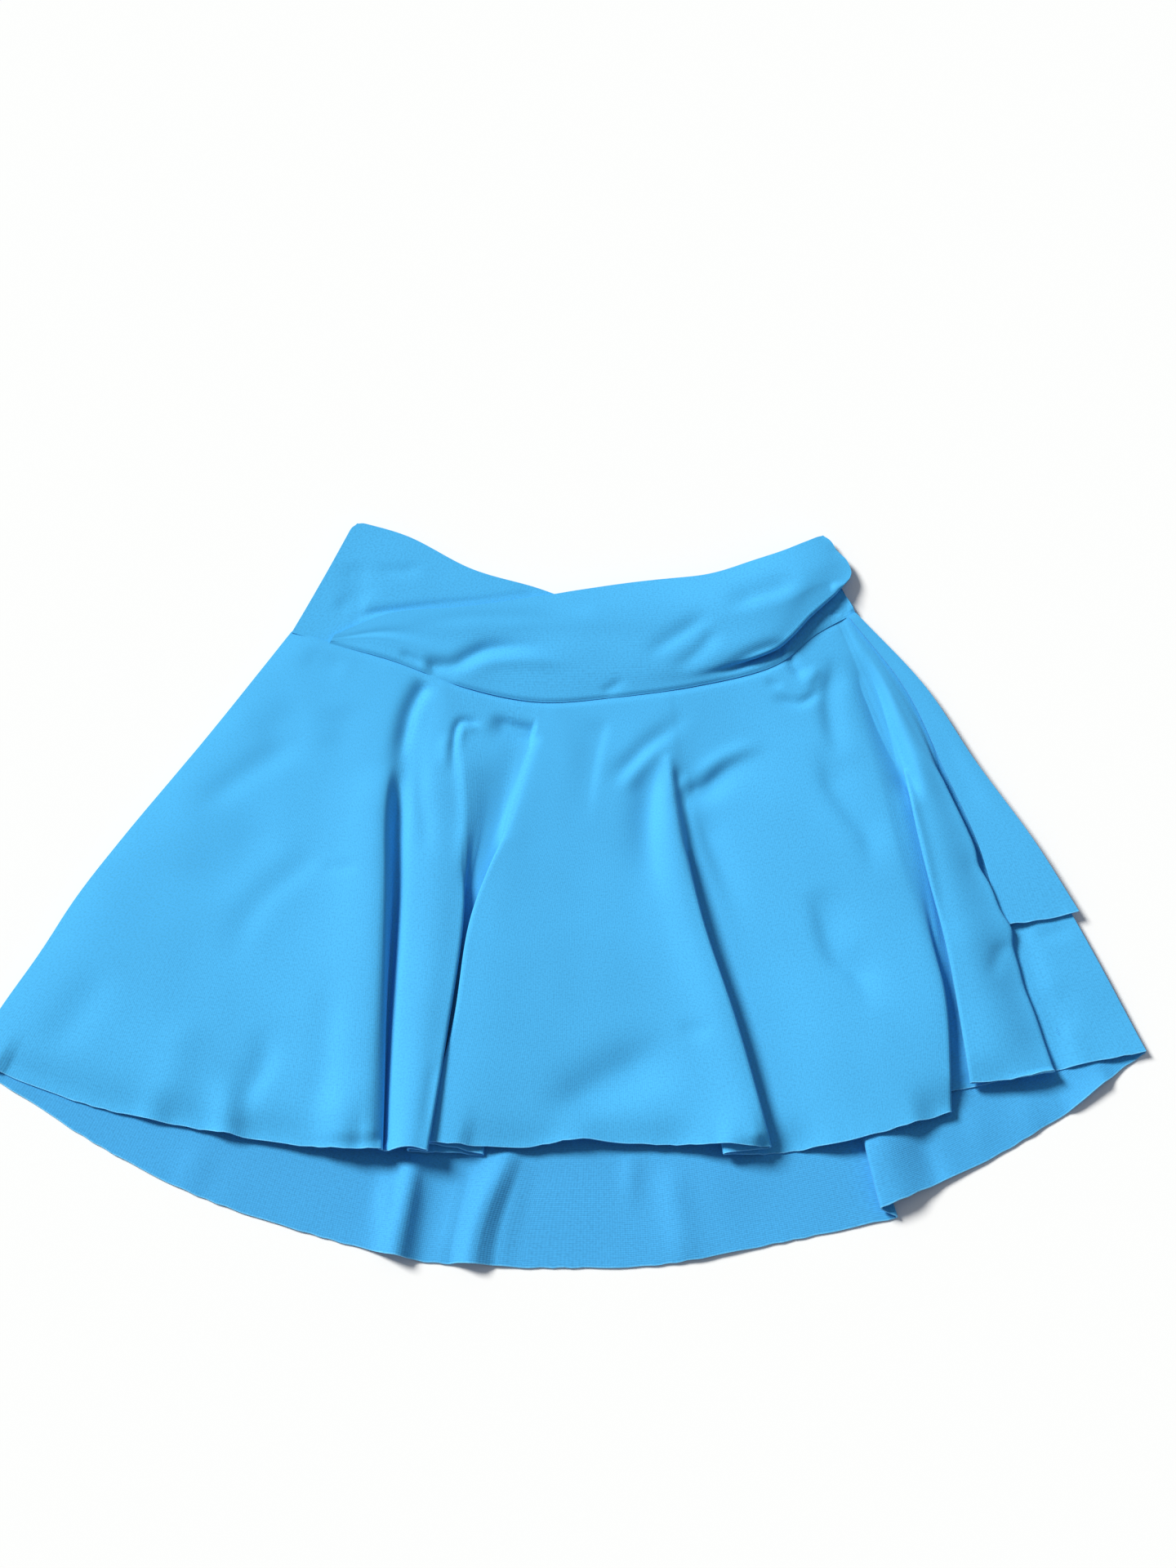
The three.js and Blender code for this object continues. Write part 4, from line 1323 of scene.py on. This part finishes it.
@dataclass
class Studio:
    """A plain pale floor, soft light from the upper left and the camera."""

    aim: tuple[float, float, float] = (0.01827, 0.06558, 0.0)
    elevation: float = 70.0
    distance: float = 3.0
    lens: float = 112.5
    sensor: float = 36
    floor_size: float = 6.0
    floor_drop: float = 0.0002
    floor_colour: Colour = (0.9, 0.9, 0.9)
    ambient: float = 0.24
    ambient_colour: Colour = (0.88, 0.96, 1.1)
    key_strength: float = 4.62
    key_colour: Colour = (0.985, 0.972, 0.925)
    key_from: tuple[float, float, float] = (-0.66, 0.5, 0.64)
    key_spread: float = 20.0

    def build(self) -> None:
        """Makes the floor, the lights and the camera."""
        self._floor()
        self._light()
        self._camera()
        bpy.context.scene.view_settings.view_transform = "Standard"

    def _floor(self) -> None:
        """Lays the floor just under the skirt."""
        maker = bmesh.new()
        bmesh.ops.create_grid(maker, x_segments=2, y_segments=2, size=self.floor_size / 2)
        bmesh.ops.translate(maker, verts=maker.verts[:], vec=(0, 0, -self.floor_drop))
        mesh = bpy.data.meshes.new("floor")
        maker.to_mesh(mesh)
        maker.free()
        floor = bpy.data.objects.new("floor", mesh)
        bpy.context.scene.collection.objects.link(floor)
        paper = bpy.data.materials.new("pale_paper")
        paper.use_nodes = True
        shader = paper.node_tree.nodes["Principled BSDF"]
        shader.inputs["Base Color"].default_value = (*self.floor_colour, 1)
        shader.inputs["Roughness"].default_value = 0.95
        shader.inputs["Specular IOR Level"].default_value = 0.1
        mesh.materials.append(paper)

    def _light(self) -> None:
        """Shines one wide soft light from the upper left into an even pale room."""
        world = bpy.data.worlds.new("pale_room")
        world.use_nodes = True
        back = world.node_tree.nodes["Background"]
        back.inputs["Color"].default_value = (*self.ambient_colour, 1)
        back.inputs["Strength"].default_value = self.ambient
        bpy.context.scene.world = world
        lamp = bpy.data.lights.new("soft_key", "SUN")
        lamp.angle = math.radians(self.key_spread)
        lamp.energy = self.key_strength
        lamp.color = self.key_colour
        key = bpy.data.objects.new("soft_key", lamp)
        key.location = Vector(self.key_from) * 2
        key.rotation_mode = "QUATERNION"
        key.rotation_quaternion = (-Vector(self.key_from)).to_track_quat("-Z", "Y")
        bpy.context.scene.collection.objects.link(key)

    def _camera(self) -> None:
        """Stands the camera well back, looking down at the skirt."""
        angle = math.radians(self.elevation)
        back = Vector((0, -math.cos(angle), math.sin(angle)))
        data = bpy.data.cameras.new("camera")
        data.lens = self.lens
        data.sensor_width = self.sensor
        camera = bpy.data.objects.new("camera", data)
        camera.location = Vector(self.aim) + back * self.distance
        camera.rotation_mode = "QUATERNION"
        camera.rotation_quaternion = (-back).to_track_quat("-Z", "Y")
        bpy.context.scene.collection.objects.link(camera)
        bpy.context.scene.camera = camera


@dataclass
class Wardrobe:
    """The whole scene: the skirt, its yoke and the studio around them."""

    skirt: Skirt = field(default_factory=Skirt)
    yoke: Yoke = field(default_factory=Yoke)
    studio: Studio = field(default_factory=Studio)


def main() -> None:
    """Builds the scene."""
    logging.basicConfig(level=logging.INFO, format="%(message)s", stream=sys.stdout)
    whole = Wardrobe()
    whole.studio.build()
    for piece in (*whole.skirt.pieces(), *whole.yoke.pieces()):
        piece.build()
    bpy.context.view_layer.update()


if __name__ == "__main__":
    main()
